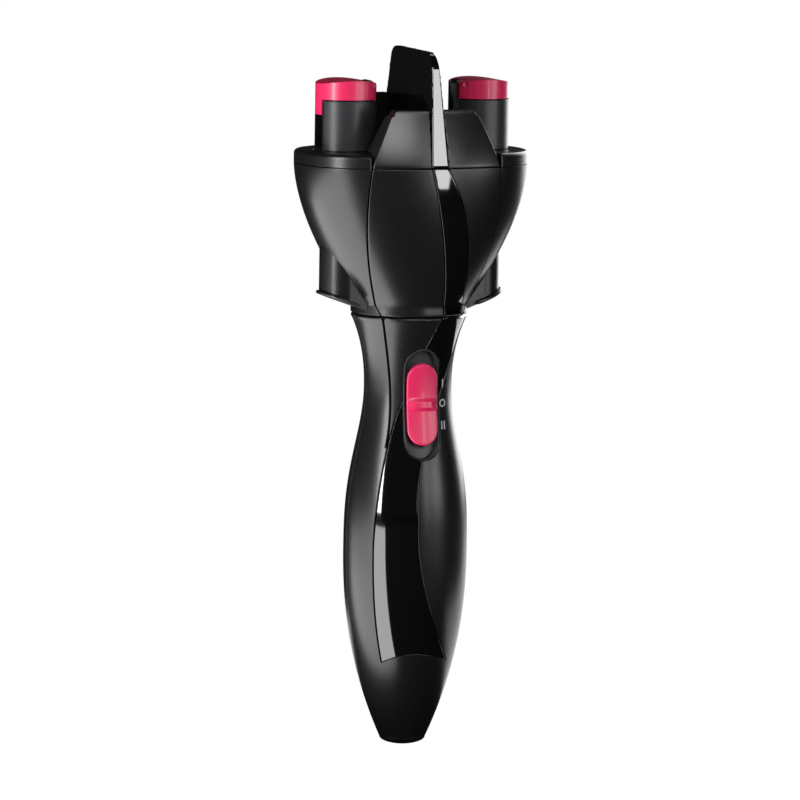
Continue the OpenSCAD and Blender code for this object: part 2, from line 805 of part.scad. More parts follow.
module shaft_clutch() {
  color(steel) from_tip()
  translate([0, 0, clutch_base_h]) difference() {
    cylinder(d = shaft_clutch_d, h = shaft_clutch_len);
    translate([0, 0, -tiny])
      cylinder(d = shaft_d + 2 * running_gap, h = shaft_clutch_len + 2 * tiny);
  }
}

// One side of the housing: a tube with a flat-fronted web to the middle
module pod(side, grow = 0) {
  intersection() {
    union() {
      translate([side * rotor_x, 0, base_h])
        cylinder(d = pod_d + 2 * grow, h = gear_plate_h - base_h);
      translate([side > 0 ? 0 : -rotor_x, -pod_d / 2 - grow, base_h])
        cube([rotor_x, pod_d + 2 * grow, gear_plate_h - base_h]);
    }
    pod_slant_keep(side, grow);
  }
}

// Everything above the slanted lower face of one side
module pod_slant_keep(side, grow = 0) {
  translate([side * rotor_x, 0, base_h + pod_foot_h - grow])
    rotate([0, -side * pod_slant, 0])
      translate([-2 * head_w, -head_w / 2, 0]) cube([4 * head_w, head_w, 2 * head_w]);
}

// Rolled lip round the outer half of the lower face
lip_sweep = 210;
lip_root = 0.7;
lip_web = lip_t * 3 / 4;
module lip(side) {
  translate([side * rotor_x, 0, base_h + pod_foot_h])
    rotate([0, -side * pod_slant, 0])
      rotate([0, 0, (side > 0 ? 0 : 180) - lip_sweep / 2])
        rotate_extrude(angle = lip_sweep) {
          translate([pod_d / 2 - lip_root, 0]) square([lip_root + lip_out - lip_t / 2, lip_web]);
          translate([pod_d / 2 + lip_out - lip_t / 2, lip_t / 2]) circle(d = lip_t);
        }
}

module rotor_housing() {
  color(satin_black) from_tip()
  difference() {
    union() {
      difference() {
        union() {
          pod(-1);
          pod(1);
        }
        translate([-shoulder_w / 2 + skin_t, -pod_d, base_h - margin])
          cube([shoulder_w - 2 * skin_t, 2 * pod_d, housing_foot_h - base_h + margin]);
      }
      translate([0, 0, housing_foot_h]) cylinder(d = hub_d, h = gear_plate_h - housing_foot_h);
      for (side = [-1, 1]) lip(side);
    }
    translate([0, 0, base_h - margin]) cylinder(d = collar_d, h = collar_socket + margin);
    translate([0, 0, base_h])
      cylinder(d = shaft_clutch_d, h = clutch_base_h - base_h + shaft_clutch_len);
    translate([0, 0, base_h]) cylinder(d = shaft_d + 2 * shaft_pass, h = bowl_h);
    for (side = [-1, 1]) translate([side * rotor_x, 0, base_h])
      cylinder(d = tube_d + 2 * running_gap, h = bowl_h);
  }
}

// ---- Skins of the head ----
skin_rows = 18;
skin_top_gap = 0.2;
skin_top_h = deck_h - skin_top_gap;
function skin_grid(borders, cols, inset) =
  [for (h = steps(base_h, skin_top_h, skin_rows))
    let (b = borders(h)) [for (a = steps(b[0], b[1], cols)) head_point(h, a, inset)]];

module skin(borders, cols) {
  sheet(skin_grid(borders, cols, 0), skin_grid(borders, cols, skin_t));
}
half_groove = groove_w / 2;
left_cols = 10;
strip_cols = 5;
right_cols = 8;
rear_cols = 18;

module front_panel_left() {
  color(satin_black) from_tip()
  skin(function(h) [
    head_angle(-panel_half_w(h) + half_groove, h),
    head_angle(head_inlay_left(h) - half_groove, h),
  ], left_cols);
}
module head_inlay() {
  color(gloss_black) from_tip()
  skin(function(h) [
    head_angle(head_inlay_left(h) + half_groove, h),
    head_angle(head_inlay_right(h) - half_groove, h),
  ], strip_cols);
}
module front_panel_right() {
  color(satin_black) from_tip()
  skin(function(h) [
    head_angle(head_inlay_right(h) + half_groove, h),
    head_angle(panel_half_w(h) - half_groove, h),
  ], right_cols);
}
module rear_panel() {
  color(satin_black) from_tip()
  rotate([0, 0, 180])
  skin(function(h) [
    head_angle(-panel_half_w(h) + half_groove, h),
    head_angle(panel_half_w(h) - half_groove, h),
  ], rear_cols);
}

wing_cols = 18;
module wing_skin() {
  skin(function(h) [
    head_angle(panel_half_w(h) + half_groove, h) - full_turn,
    full_turn - head_angle(panel_half_w(h) + half_groove, h),
  ], wing_cols);
}
housing_gap = 0.1;
module wing_right() {
  color(satin_black) from_tip()
  difference() {
    wing_skin();
    pod(1, housing_gap);
  }
}
module wing_left() {
  color(satin_black) from_tip()
  difference() {
    mirror([1, 0, 0]) wing_skin();
    pod(-1, housing_gap);
  }
}

// ---- Plates, deck, noses and fin ----
module head_plate(h, t) {
  translate([0, 0, h]) linear_extrude(t)
    polygon([for (a = ring_angles(section_points))
      let (p = head_point(h, a, skin_t + plate_gap)) [p[0], p[1]]]);
}

journal_step = 1.6;
journal_lift = 0.4;
bearing_lift = 1.2;
journal_d = tube_d + 2 * journal_step;
journal_h = gear_base_h + gear_t + journal_lift;
bearing_h = gear_base_h + gear_t + bearing_lift;
module gear_plate() {
  color(dark_grey) from_tip()
  difference() {
    head_plate(gear_plate_h, plate_t);
    translate([0, 0, gear_plate_h - margin])
      cylinder(d = shaft_d + 2 * shaft_pass, h = plate_t + 2 * margin);
    for (x = [-rotor_x, rotor_x]) translate([x, 0, gear_plate_h - margin])
      cylinder(d = tube_d + 2 * running_gap, h = plate_t + 2 * margin);
  }
}

module bearing_plate() {
  color(dark_grey) from_tip()
  difference() {
    head_plate(bearing_h, plate_t);
    for (x = [-rotor_x, rotor_x]) translate([x, 0, bearing_h - margin])
      cylinder(d = journal_d + 2 * running_gap, h = plate_t + 2 * margin);
    translate([0, 0, bearing_h - margin])
      cylinder(d = shaft_d + 2 * running_gap, h = plate_t + 2 * margin);
  }
}

// Rounded rim of the deck, as shares of its thickness and of the rim's inset
rim_inset = 1.8;
rim_profile = [[0, 0.2], [0.45, 0], [0.72, 0.12], [0.9, 0.4], [1, 0.75]];
deck_points = 72;
function head_ring(h, inset) =
  [for (a = ring_angles(deck_points))
    let (p = head_point(deck_h, a, inset)) [p[0], p[1], h]];

module deck() {
  color(satin_black) from_tip()
  difference() {
    loft([for (s = rim_profile) head_ring(deck_h + deck_t * s[0], rim_inset * s[1])]);
    for (x = [-rotor_x, rotor_x]) translate([x, 0, deck_h - margin])
      cylinder(d = tower_d + 2 * tower_gap, h = deck_t + 2 * margin);
    for (side = [-1, 1]) nose_seat(side);
  }
}

// Room in the deck's rim for a nose
nose_foot_w = 2 * panel_half_w(deck_h);
nose_seat_y = 19.5;
module nose_seat(side) {
  seat_y = side > 0 ? nose_seat_y : -nose_seat_y - head_d;
  translate([-nose_foot_w / 2 - groove_w, seat_y, deck_h - margin])
    cube([nose_foot_w + 2 * groove_w, head_d, deck_t + 2 * margin]);
}

// A nose: the outer face continues the panel below it and leans back, the inner is hollowed
nose_rows = 12;
nose_cols = 14;
nose_taper = 1.15;
nose_lean_swell = 1.3;
nose_back_lean = 4;
nose_hollow = 1.5;
function deck_front_y(x) =
  -head_half_d(deck_h)
    * pow(1 - pow(abs(x) / head_half_w(deck_h), head_squareness), 1 / head_squareness);
function nose_half_w(t) = mix(nose_foot_w / 2, nose_top_w / 2, pow(t, nose_taper));
function nose_front_y(x, t) = deck_front_y(x) + nose_lean * pow(t, nose_lean_swell);
function nose_back_y(x, t, w) =
  -mix(nose_inner, nose_inner + nose_back_lean, t) - nose_hollow * t * (1 - pow(x / w, 2));
function nose_ring(t, h) =
  let (w = nose_half_w(t))
  concat(
    [for (x = steps(-w, w, nose_cols)) [x, nose_front_y(x, t), h]],
    [for (x = steps(w, -w, nose_cols)) [x, nose_back_y(x, t, w), h]]);

module nose_body(height) {
  difference() {
    loft([for (i = [0:nose_rows]) nose_ring(i / nose_rows, deck_h + height * i / nose_rows)]);
    translate([-head_w / 2, -nose_seat_y - groove_w, deck_h - margin])
      cube([head_w, head_d, deck_t + margin]);
    fin_wedge(groove_w / 2);
  }
}
module nose_front() { color(satin_black) from_tip() nose_body(nose_front_h); }
module nose_rear() { color(satin_black) from_tip() rotate([0, 0, 180]) nose_body(nose_rear_h); }

// Wedge section of the fin, running front to back
module fin_wedge(grow = 0) {
  translate([0, head_d, deck_h]) rotate([90, 0, 0]) linear_extrude(2 * head_d)
    polygon([
      [-fin_foot_t / 2 - grow, -margin],
      [fin_foot_t / 2 + grow, -margin],
      [fin_top_t / 2 + grow, fin_h + margin],
      [-fin_top_t / 2 - grow, fin_h + margin],
    ]);
}

fin_foot_y = -head_d / 2;
fin_foot_len = head_d / 4;
fin_front_top_y = -21.5;
fin_back_y = 22;
fin_back_top_y = 17.6;
fin_front_r = 7;
fin_back_r = 4;
module fin_outline() {
  hull() {
    translate([fin_foot_y, groove_w]) square([fin_foot_len, tiny]);
    translate([fin_front_top_y + fin_front_r, fin_h - fin_drop - fin_front_r]) circle(r = fin_front_r);
    translate([fin_back_top_y - fin_back_r, fin_h - fin_back_r]) circle(r = fin_back_r);
    translate([fin_back_y - 1, deck_t]) square([1, tiny]);
  }
}
module fin() {
  color(gloss_black) from_tip()
  difference() {
    intersection() {
      fin_wedge();
      translate([0, 0, deck_h]) rotate([90, 0, 90]) translate([0, 0, -fin_foot_t])
        linear_extrude(2 * fin_foot_t) fin_outline();
    }
    translate([-head_w / 2, -nose_seat_y, deck_h - margin])
      cube([head_w, head_d, deck_t + margin]);
  }
}

// ---- Gears ----
// Tooth profile: a trapezoid tooth on a round blank, its half widths in shares of the pitch
tooth_out = 0.85;
tooth_tip = 0.11;
tooth_mid = 0.235;
tooth_root = 0.36;
function gear_outline(teeth, m) =
  let (r = m * teeth / 2, pitch = full_turn / teeth, root = r - tooth_in * m, tip = r + tooth_out * m,
    steps = [[-tooth_root, root], [-tooth_mid, r], [-tooth_tip, tip],
      [tooth_tip, tip], [tooth_mid, r], [tooth_root, root]])
  [for (i = [0:teeth - 1]) each [for (p = steps)
    let (a = (i + p[0]) * pitch) [p[1] * cos(a), p[1] * sin(a)]]];

module spur_gear(teeth, t, hole_d) {
  linear_extrude(t) difference() {
    polygon(gear_outline(teeth, gear_module));
    circle(d = hole_d);
  }
}

shaft_end_gap = 0.5;
shaft_base_h = gearbox_top_h - shaft_grip + shaft_end_gap;
sun_hub_wall = 3;
sun_hub_h = 1.4;
module drive_shaft() {
  color(steel) from_tip()
  translate([0, 0, shaft_base_h])
    cylinder(d = shaft_d, h = bearing_h + plate_t - shaft_base_h);
}
module sun_gear() {
  color(nylon) from_tip()
  translate([0, 0, gear_base_h]) {
    spur_gear(sun_teeth, gear_t, shaft_d);
    translate([0, 0, -sun_hub_h]) difference() {
      cylinder(d = shaft_d + 2 * sun_hub_wall, h = sun_hub_h);
      translate([0, 0, -tiny]) cylinder(d = shaft_d, h = sun_hub_h + margin);
    }
  }
}

// ---- Rotors: built at the left, with the strand slot facing outwards ----
tube_recess = 1.2;
tower_lift = 0.4;
slot_lift = 1.2;
panel_lift = 0.1;
pin_inset = 1.6;
pin_drop = 0.2;
knuckle_wall = 0.7;
cap_overlap = 1.2;
cap_clear = 0.4;
tube_foot_h = base_h + pod_foot_h + pod_d / 2 * tan(pod_slant) + tube_recess;
tower_foot_h = deck_h + tower_lift;
tower_top_h = deck_h + tower_h;
slot_floor_h = deck_top_h + slot_lift;
panel_base_h = deck_top_h + panel_lift;
wall_x = sqrt(pow(tower_d / 2, 2) - pow(inner_wall_w / 2, 2));
cap_gap = 0.3;
pin_x = wall_x - pin_inset;
pin_h = tower_top_h + cap_h - cap_arch - pin_drop;
knuckle_r = pin_d / 2 + knuckle_wall;
knuckle_neck = knuckle_r - 0.3;
knuckle_sink = 0.5;
wall_top_h = tower_top_h + cap_h - cap_arch;
half_tooth = full_turn / 2 / rotor_teeth;
knuckle_gap = 0.2;

module at_left() { translate([-rotor_x, 0, 0]) children(); }
module at_right() { mirror([1, 0, 0]) at_left() children(); }

// Turned body of a rotor, from the tube's foot to the top of the inner wall
module rotor_blank() {
  rotate_extrude()
    polygon([
      [bore_d / 2, tube_foot_h],
      [tube_d / 2, tube_foot_h],
      [tube_d / 2, journal_h],
      [journal_d / 2, journal_h],
      [journal_d / 2, tower_foot_h],
      [tower_d / 2, tower_foot_h],
      [tower_d / 2, wall_top_h],
      [bore_d / 2, wall_top_h],
    ]);
}

// Knuckle on the inner wall, which carries the clip's pin
module knuckle() {
  translate([pin_x, 0, pin_h]) rotate([90, 0, 0])
    cylinder(r = knuckle_r, h = knuckle_w, center = true);
  translate([pin_x - knuckle_neck, -knuckle_w / 2, tower_top_h - margin])
    cube([wall_x - pin_x + knuckle_neck + knuckle_sink, knuckle_w, pin_h - tower_top_h + margin]);
}

// Room for both panels: all of the tower's skin except the jambs and the inner wall
module panel_pockets() {
  pocket_h = wall_top_h - panel_base_h + margin;
  translate([0, 0, panel_base_h]) difference() {
    cylinder(d = tower_d + 2 * margin, h = pocket_h);
    translate([0, 0, -margin]) cylinder(d = tower_d - 2 * tower_panel_t, h = pocket_h + 2 * margin);
    translate([-tower_d, -slot_w / 2 - jamb_t, -margin])
      cube([tower_d, slot_w + 2 * jamb_t, pocket_h + 2 * margin]);
    translate([0, -inner_wall_w / 2, -margin])
      cube([tower_d, inner_wall_w, pocket_h + 2 * margin]);
  }
}

jamb_t = 0.6;
module rotor() {
  difference() {
    union() {
      difference() {
        rotor_blank();
        translate([wall_x - 2 * tower_d, -tower_d, tower_top_h])
          cube([2 * tower_d, 2 * tower_d, cap_h]);
        panel_pockets();
        translate([-tower_d, -slot_w / 2, slot_floor_h]) cube([tower_d, slot_w, tower_h + cap_h]);
      }
      knuckle();
    }
    translate([pin_x, 0, pin_h]) rotate([90, 0, 0]) cylinder(d = pin_d, h = tower_d, center = true);
  }
}

// A gear is turned by half a tooth where it faces a tooth of the sun gear
left_turn = sun_teeth % 2 == 0 ? half_tooth : 0;
module rotor_gear(turn) {
  translate([0, 0, gear_base_h]) rotate([0, 0, turn]) spur_gear(rotor_teeth, gear_t, tube_d);
}

// A panel of the tower, in front of it for side -1 and behind it for side 1
panel_edge_gap = 0.15;
module tower_panel(side) {
  difference() {
    translate([0, 0, panel_base_h + panel_edge_gap])
      cylinder(d = tower_d, h = tower_top_h - panel_base_h - 2 * panel_edge_gap);
    cylinder(d = tower_d - 2 * tower_panel_t, h = 2 * handle_len);
    translate([-tower_d, side > 0 ? -tower_d : 0, 0]) cube([2 * tower_d, tower_d, 2 * handle_len]);
    translate([-tower_d, -slot_w / 2 - jamb_t - panel_edge_gap, 0])
      cube([tower_d, slot_w + 2 * jamb_t + 2 * panel_edge_gap, 2 * handle_len]);
    translate([0, -inner_wall_w / 2 - panel_edge_gap, 0])
      cube([tower_d, inner_wall_w + 2 * panel_edge_gap, 2 * handle_len]);
  }
}

pin_len = 13;
spring_shell = 0.6;
module clip_pin() {
  translate([pin_x, 0, pin_h]) rotate([90, 0, 0]) cylinder(d = pin_d, h = pin_len, center = true);
}

clip_spring_w = 1.6;
module clip_spring() {
  translate([pin_x, knuckle_w / 2 + plate_gap, pin_h]) rotate([-90, 0, 0]) difference() {
    cylinder(d = pin_d + 2 * spring_shell, h = clip_spring_w);
    translate([0, 0, -tiny]) cylinder(d = pin_d, h = clip_spring_w + 2 * tiny);
  }
}

// Arched cap with a tab that closes the slot's upper end
arch_r = (pow(tower_d / 2, 2) + pow(cap_arch, 2)) / (2 * cap_arch);
cap_base_h = tower_top_h + cap_gap;
cap_top_h = tower_top_h + cap_h + cap_gap;
module clip_cap() {
  difference() {
    union() {
      intersection() {
        translate([0, 0, cap_base_h]) cylinder(d = tower_d, h = cap_h);
        translate([0, 0, cap_top_h - arch_r]) rotate([90, 0, 0])
          cylinder(r = arch_r, h = 2 * tower_d, center = true, $fn = 256);
      }
      intersection() {
        translate([0, 0, cap_base_h - tab_len]) cylinder(d = tower_d, h = tab_len + tiny);
        translate([-tower_d / 2, -slot_w / 2 + cap_gap, cap_base_h - tab_len])
          cube([tab_t, slot_w - 2 * cap_gap, tab_len + margin]);
      }
    }
    translate([pin_x + cap_overlap, -tower_d, cap_base_h - margin])
      cube([tower_d, 2 * tower_d, cap_h + 2 * margin]);
    translate([pin_x - knuckle_r - cap_clear, -knuckle_w / 2 - knuckle_gap, cap_base_h - margin])
      cube([tower_d, knuckle_w + 2 * knuckle_gap + clip_spring_w, cap_h + 2 * margin]);
    translate([pin_x, 0, pin_h]) rotate([90, 0, 0])
      cylinder(d = pin_d + 2 * running_gap, h = tower_d, center = true);
  }
}

// Rubber pad that presses the strand into the slot
pad_t = 1.4;
module clip_pad() {
  translate([-tower_d / 2 + tab_t, -slot_w / 2 + 2 * cap_gap, cap_base_h - pad_t])
    cube([tower_d / 2 - tab_t, slot_w - 4 * cap_gap, pad_t]);
}

module rotor_left() { color(gloss_black) from_tip() at_left() rotor(); }
module rotor_gear_left() { color(nylon) from_tip() at_left() rotor_gear(left_turn); }
module tower_panel_front_left() { color(dark_grey) from_tip() at_left() tower_panel(-1); }
module tower_panel_rear_left() { color(dark_grey) from_tip() at_left() tower_panel(1); }
module clip_pin_left() { color(steel) from_tip() at_left() clip_pin(); }
module clip_spring_left() { color(steel) from_tip() at_left() clip_spring(); }
module clip_cap_left() { color(pink) from_tip() at_left() clip_cap(); }
module clip_pad_left() { color(dark_grey) from_tip() at_left() clip_pad(); }

module rotor_right() { color(gloss_black) from_tip() at_right() rotor(); }
module rotor_gear_right() { color(nylon) from_tip() at_right() rotor_gear(half_tooth); }
module tower_panel_front_right() { color(dark_grey) from_tip() at_right() tower_panel(-1); }
module tower_panel_rear_right() { color(dark_grey) from_tip() at_right() tower_panel(1); }
module clip_pin_right() { color(steel) from_tip() at_right() clip_pin(); }
module clip_spring_right() { color(steel) from_tip() at_right() clip_spring(); }
module clip_cap_right() { color(pink) from_tip() at_right() clip_cap(); }
module clip_pad_right() { color(dark_grey) from_tip() at_right() clip_pad(); }

handle_front_shell();
handle_rear_shell();
handle_inlay();
battery_cover();
battery_tray();
cell_left();
cell_right();
contact_bridge();
contact_left();
contact_right();
contact_springs();
switch_recess();
switch_slider();
switch_carrier();
switch_contacts();
motor();
gearbox();
motor_ring();
neck_plate();
neck_clutch();
screw_upper();
screw_lower();
head_collar();
head_base();
shaft_clutch();
rotor_housing();
front_panel_left();
front_panel_right();
head_inlay();
rear_panel();
wing_left();
wing_right();
gear_plate();
bearing_plate();
deck();
nose_front();
nose_rear();
fin();
drive_shaft();
sun_gear();
rotor_left();
rotor_gear_left();
tower_panel_front_left();
tower_panel_rear_left();
clip_pin_left();
clip_spring_left();
clip_cap_left();
clip_pad_left();
rotor_right();
rotor_gear_right();
tower_panel_front_right();
tower_panel_rear_right();
clip_pin_right();
clip_spring_right();
clip_cap_right();
clip_pad_right();
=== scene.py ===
"""Looks of an automatic hair braider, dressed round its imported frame.

Sizes are millimetres in the classes' fields and metres in the meshes. +Z runs along the
handle to the head, -Y to the front, and heights are counted from the handle's tip.
"""
import json
import logging
import math
from dataclasses import dataclass
from enum import Enum
from typing import Callable, Sequence

import bmesh
import bpy
import numpy as np
from mathutils import Matrix, Vector
from mathutils.geometry import delaunay_2d_cdt

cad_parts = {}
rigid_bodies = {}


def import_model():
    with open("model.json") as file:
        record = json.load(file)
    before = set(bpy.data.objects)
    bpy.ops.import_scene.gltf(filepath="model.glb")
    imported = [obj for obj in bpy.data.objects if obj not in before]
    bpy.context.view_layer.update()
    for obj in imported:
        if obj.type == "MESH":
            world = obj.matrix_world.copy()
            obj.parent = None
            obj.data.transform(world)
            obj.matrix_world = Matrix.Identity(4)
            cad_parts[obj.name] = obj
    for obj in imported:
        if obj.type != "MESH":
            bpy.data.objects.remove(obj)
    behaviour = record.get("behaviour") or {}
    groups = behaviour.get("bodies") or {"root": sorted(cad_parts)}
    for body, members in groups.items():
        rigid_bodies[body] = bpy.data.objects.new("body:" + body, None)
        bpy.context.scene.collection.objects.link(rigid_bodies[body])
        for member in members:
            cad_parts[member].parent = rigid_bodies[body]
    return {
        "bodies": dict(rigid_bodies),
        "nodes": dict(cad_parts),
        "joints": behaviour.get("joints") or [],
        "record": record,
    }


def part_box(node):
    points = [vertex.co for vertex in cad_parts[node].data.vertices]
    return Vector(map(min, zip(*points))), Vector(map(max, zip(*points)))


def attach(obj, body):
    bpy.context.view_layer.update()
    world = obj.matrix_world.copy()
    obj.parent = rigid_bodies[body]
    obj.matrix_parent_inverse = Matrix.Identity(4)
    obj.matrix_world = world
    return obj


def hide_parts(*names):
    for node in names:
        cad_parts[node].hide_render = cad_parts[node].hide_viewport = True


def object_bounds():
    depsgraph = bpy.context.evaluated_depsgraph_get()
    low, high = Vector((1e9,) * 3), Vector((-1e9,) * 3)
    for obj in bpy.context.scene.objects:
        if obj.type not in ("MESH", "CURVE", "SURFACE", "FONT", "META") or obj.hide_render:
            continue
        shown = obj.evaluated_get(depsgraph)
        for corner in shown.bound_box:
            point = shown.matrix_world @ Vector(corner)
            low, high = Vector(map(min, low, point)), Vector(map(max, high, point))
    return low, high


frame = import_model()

MM = 0.001
HALF_TURN = math.pi
QUARTER_TURN = math.pi / 2
FRONT = -QUARTER_TURN
REAR = QUARTER_TURN
NOTHING = 1e-12  # stands for zero in a divisor
HEAD_FOOT = 142.6  # height of the head's foot above the tip
CAD_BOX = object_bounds()
log = logging.getLogger("braider")

Points = np.ndarray
Place = Callable[[Points], Points]


# ---- Node trees written as formulas ----
class Term:
    """A socket of a node tree with arithmetic, so that a rule reads as a formula."""

    def __init__(self, tree: "Tree", socket: bpy.types.NodeSocket) -> None:
        """Wraps a socket.

        Args:
            tree: the tree that the socket belongs to.
            socket: an output of one of its nodes.
        """
        self.tree = tree
        self.socket = socket

    def __add__(self, other: "Term | float") -> "Term":
        """Sum."""
        return self.tree.math("ADD", self, other)

    __radd__ = __add__

    def __sub__(self, other: "Term | float") -> "Term":
        """Difference."""
        return self.tree.math("SUBTRACT", self, other)

    def __rsub__(self, other: float) -> "Term":
        """Difference from a number."""
        return self.tree.math("SUBTRACT", other, self)

    def __mul__(self, other: "Term | float") -> "Term":
        """Product."""
        return self.tree.math("MULTIPLY", self, other)

    __rmul__ = __mul__

    def __truediv__(self, other: "Term | float") -> "Term":
        """Quotient."""
        return self.tree.math("DIVIDE", self, other)

    def __rtruediv__(self, other: float) -> "Term":
        """Quotient of a number."""
        return self.tree.math("DIVIDE", other, self)

    def clamp(self) -> "Term":
        """The value held between 0 and 1."""
        return self.tree.math("MINIMUM", self.tree.math("MAXIMUM", self, 0.0), 1.0)


class Tree:
    """A shader or geometry node tree, filled through one node-making method."""

    def __init__(self, tree: bpy.types.NodeTree) -> None:
        """Takes a tree.

        Args:
            tree: the tree to fill.
        """
        self.tree = tree

    def node(self, kind: str, settings: dict | None = None, *values: object,
             **named: object) -> bpy.types.Node:
        """Adds a node.

        Args:
            kind: the node's type.
            settings: attributes that are set before its sockets.
            values: values or links of its first inputs, in order.
            named: values or links of inputs by name, with _ for a space.

        Returns:
            The new node.
        """
        made = self.tree.nodes.new(kind)
        for key, value in (settings or {}).items():
            if key == "stops":
                self._set_stops(made.color_ramp, value)
            else:
                setattr(made, key, value)
        for index, value in enumerate(values):
            self._feed(made.inputs[index], value)
        for key, value in named.items():
            self._feed(self._input(made, key), value)
        return made

    def _input(self, node: bpy.types.Node, key: str) -> bpy.types.NodeSocket:
        """The input of a node by identifier or by name, with _ for a space."""
        for socket in node.inputs:
            if socket.identifier == key or socket.name == key.replace("_", " "):
                if socket.enabled:
                    return socket
        raise KeyError(f"{node.bl_idname} has no input {key}")

    def _feed(self, socket: bpy.types.NodeSocket, value: object) -> None:
        """Links a term to a socket, or sets the socket's own value."""
        if isinstance(value, Term):
            self.tree.links.new(value.socket, socket)
        elif isinstance(value, bpy.types.NodeSocket):
            self.tree.links.new(value, socket)
        elif value is not None:
            socket.default_value = value

    @staticmethod
    def _set_stops(ramp: bpy.types.ColorRamp, stops: Sequence[tuple[float, tuple]]) -> None:
        """Gives a colour ramp its stops, as pairs of place and colour."""
        while len(ramp.elements) < len(stops):
            ramp.elements.new(1.0)
        for element, (place, colour) in zip(ramp.elements, stops):
            element.position = place
            element.color = (*colour, 1.0)

    def out(self, node: bpy.types.Node, output: int | str = 0) -> Term:
        """An output of a node as a term."""
        return Term(self, node.outputs[output])

    def math(self, operation: str, *values: object) -> Term:
        """A Math node on values and terms."""
        return self.out(self.node("ShaderNodeMath", {"operation": operation}, *values))

    def vector(self, x: object, y: object, z: object) -> Term:
        """A vector of three numbers or terms."""
        return self.out(self.node("ShaderNodeCombineXYZ", None, x, y, z))

    def blend(self, share: Term, first: object, second: object) -> Term:
        """Colour between two colours, by a share."""
        mixed = self.node("ShaderNodeMix", {"data_type": "RGBA"}, Factor_Float=share,
                          A_Color=first, B_Color=second)
        return Term(self, next(s for s in mixed.outputs if s.identifier == "Result_Color"))


# ---- Rules that take numbers, arrays and terms alike ----
def rule(operation: str, plain: Callable, *values: object) -> object:
    """Works out one step of a rule.

    Args:
        operation: the Math node's operation, used if a value is a term.
        plain: the numpy function, used otherwise.
        values: numbers, arrays or terms.

    Returns:
        The result, of the kind that the values have.
    """
    terms = [value for value in values if isinstance(value, Term)]
    return terms[0].tree.math(operation, *values) if terms else plain(*values)


def power(base: object, exponent: object) -> object:
    """base to the power of exponent."""
    return rule("POWER", np.power, base, exponent)


def within(value: object) -> object:
    """The value held between 0 and 1."""
    return value.clamp() if isinstance(value, Term) else np.clip(value, 0.0, 1.0)


def mix(first: object, second: object, share: object) -> object:
    """The value at a share of the way from first to second."""
    return first + (second - first) * share


def choose(value: object, edge: float, below: object, above: object) -> object:
    """below where value is under edge, and above elsewhere."""
    if isinstance(value, Term):
        return mix(above, below, value.tree.math("LESS_THAN", value, edge))
    return np.where(value < edge, below, above)


def cosine(angle: object) -> object:
    """Cosine of an angle in radians."""
    return rule("COSINE", np.cos, angle)


def sine(angle: object) -> object:
    """Sine of an angle in radians."""
    return rule("SINE", np.sin, angle)


def signed_power(value: object, exponent: object) -> object:
    """The value's size to the power of exponent, with the value's sign."""
    return rule("SIGN", np.sign, value) * power(rule("ABSOLUTE", np.abs, value), exponent)


def turn_to(x: object, half_width: object, squareness: object) -> object:
    """Angle from an oval's front at which it passes x.

    Args:
        x: distance from the middle, right positive.
        half_width: half width of the oval.
        squareness: its exponent, 2 for an ellipse.

    Returns:
        The angle in radians, right positive.
    """
    share = within(rule("ABSOLUTE", np.abs, x) / half_width)
    return rule("SIGN", np.sign, x) * rule("ARCSINE", np.arcsin, power(share, squareness / 2))


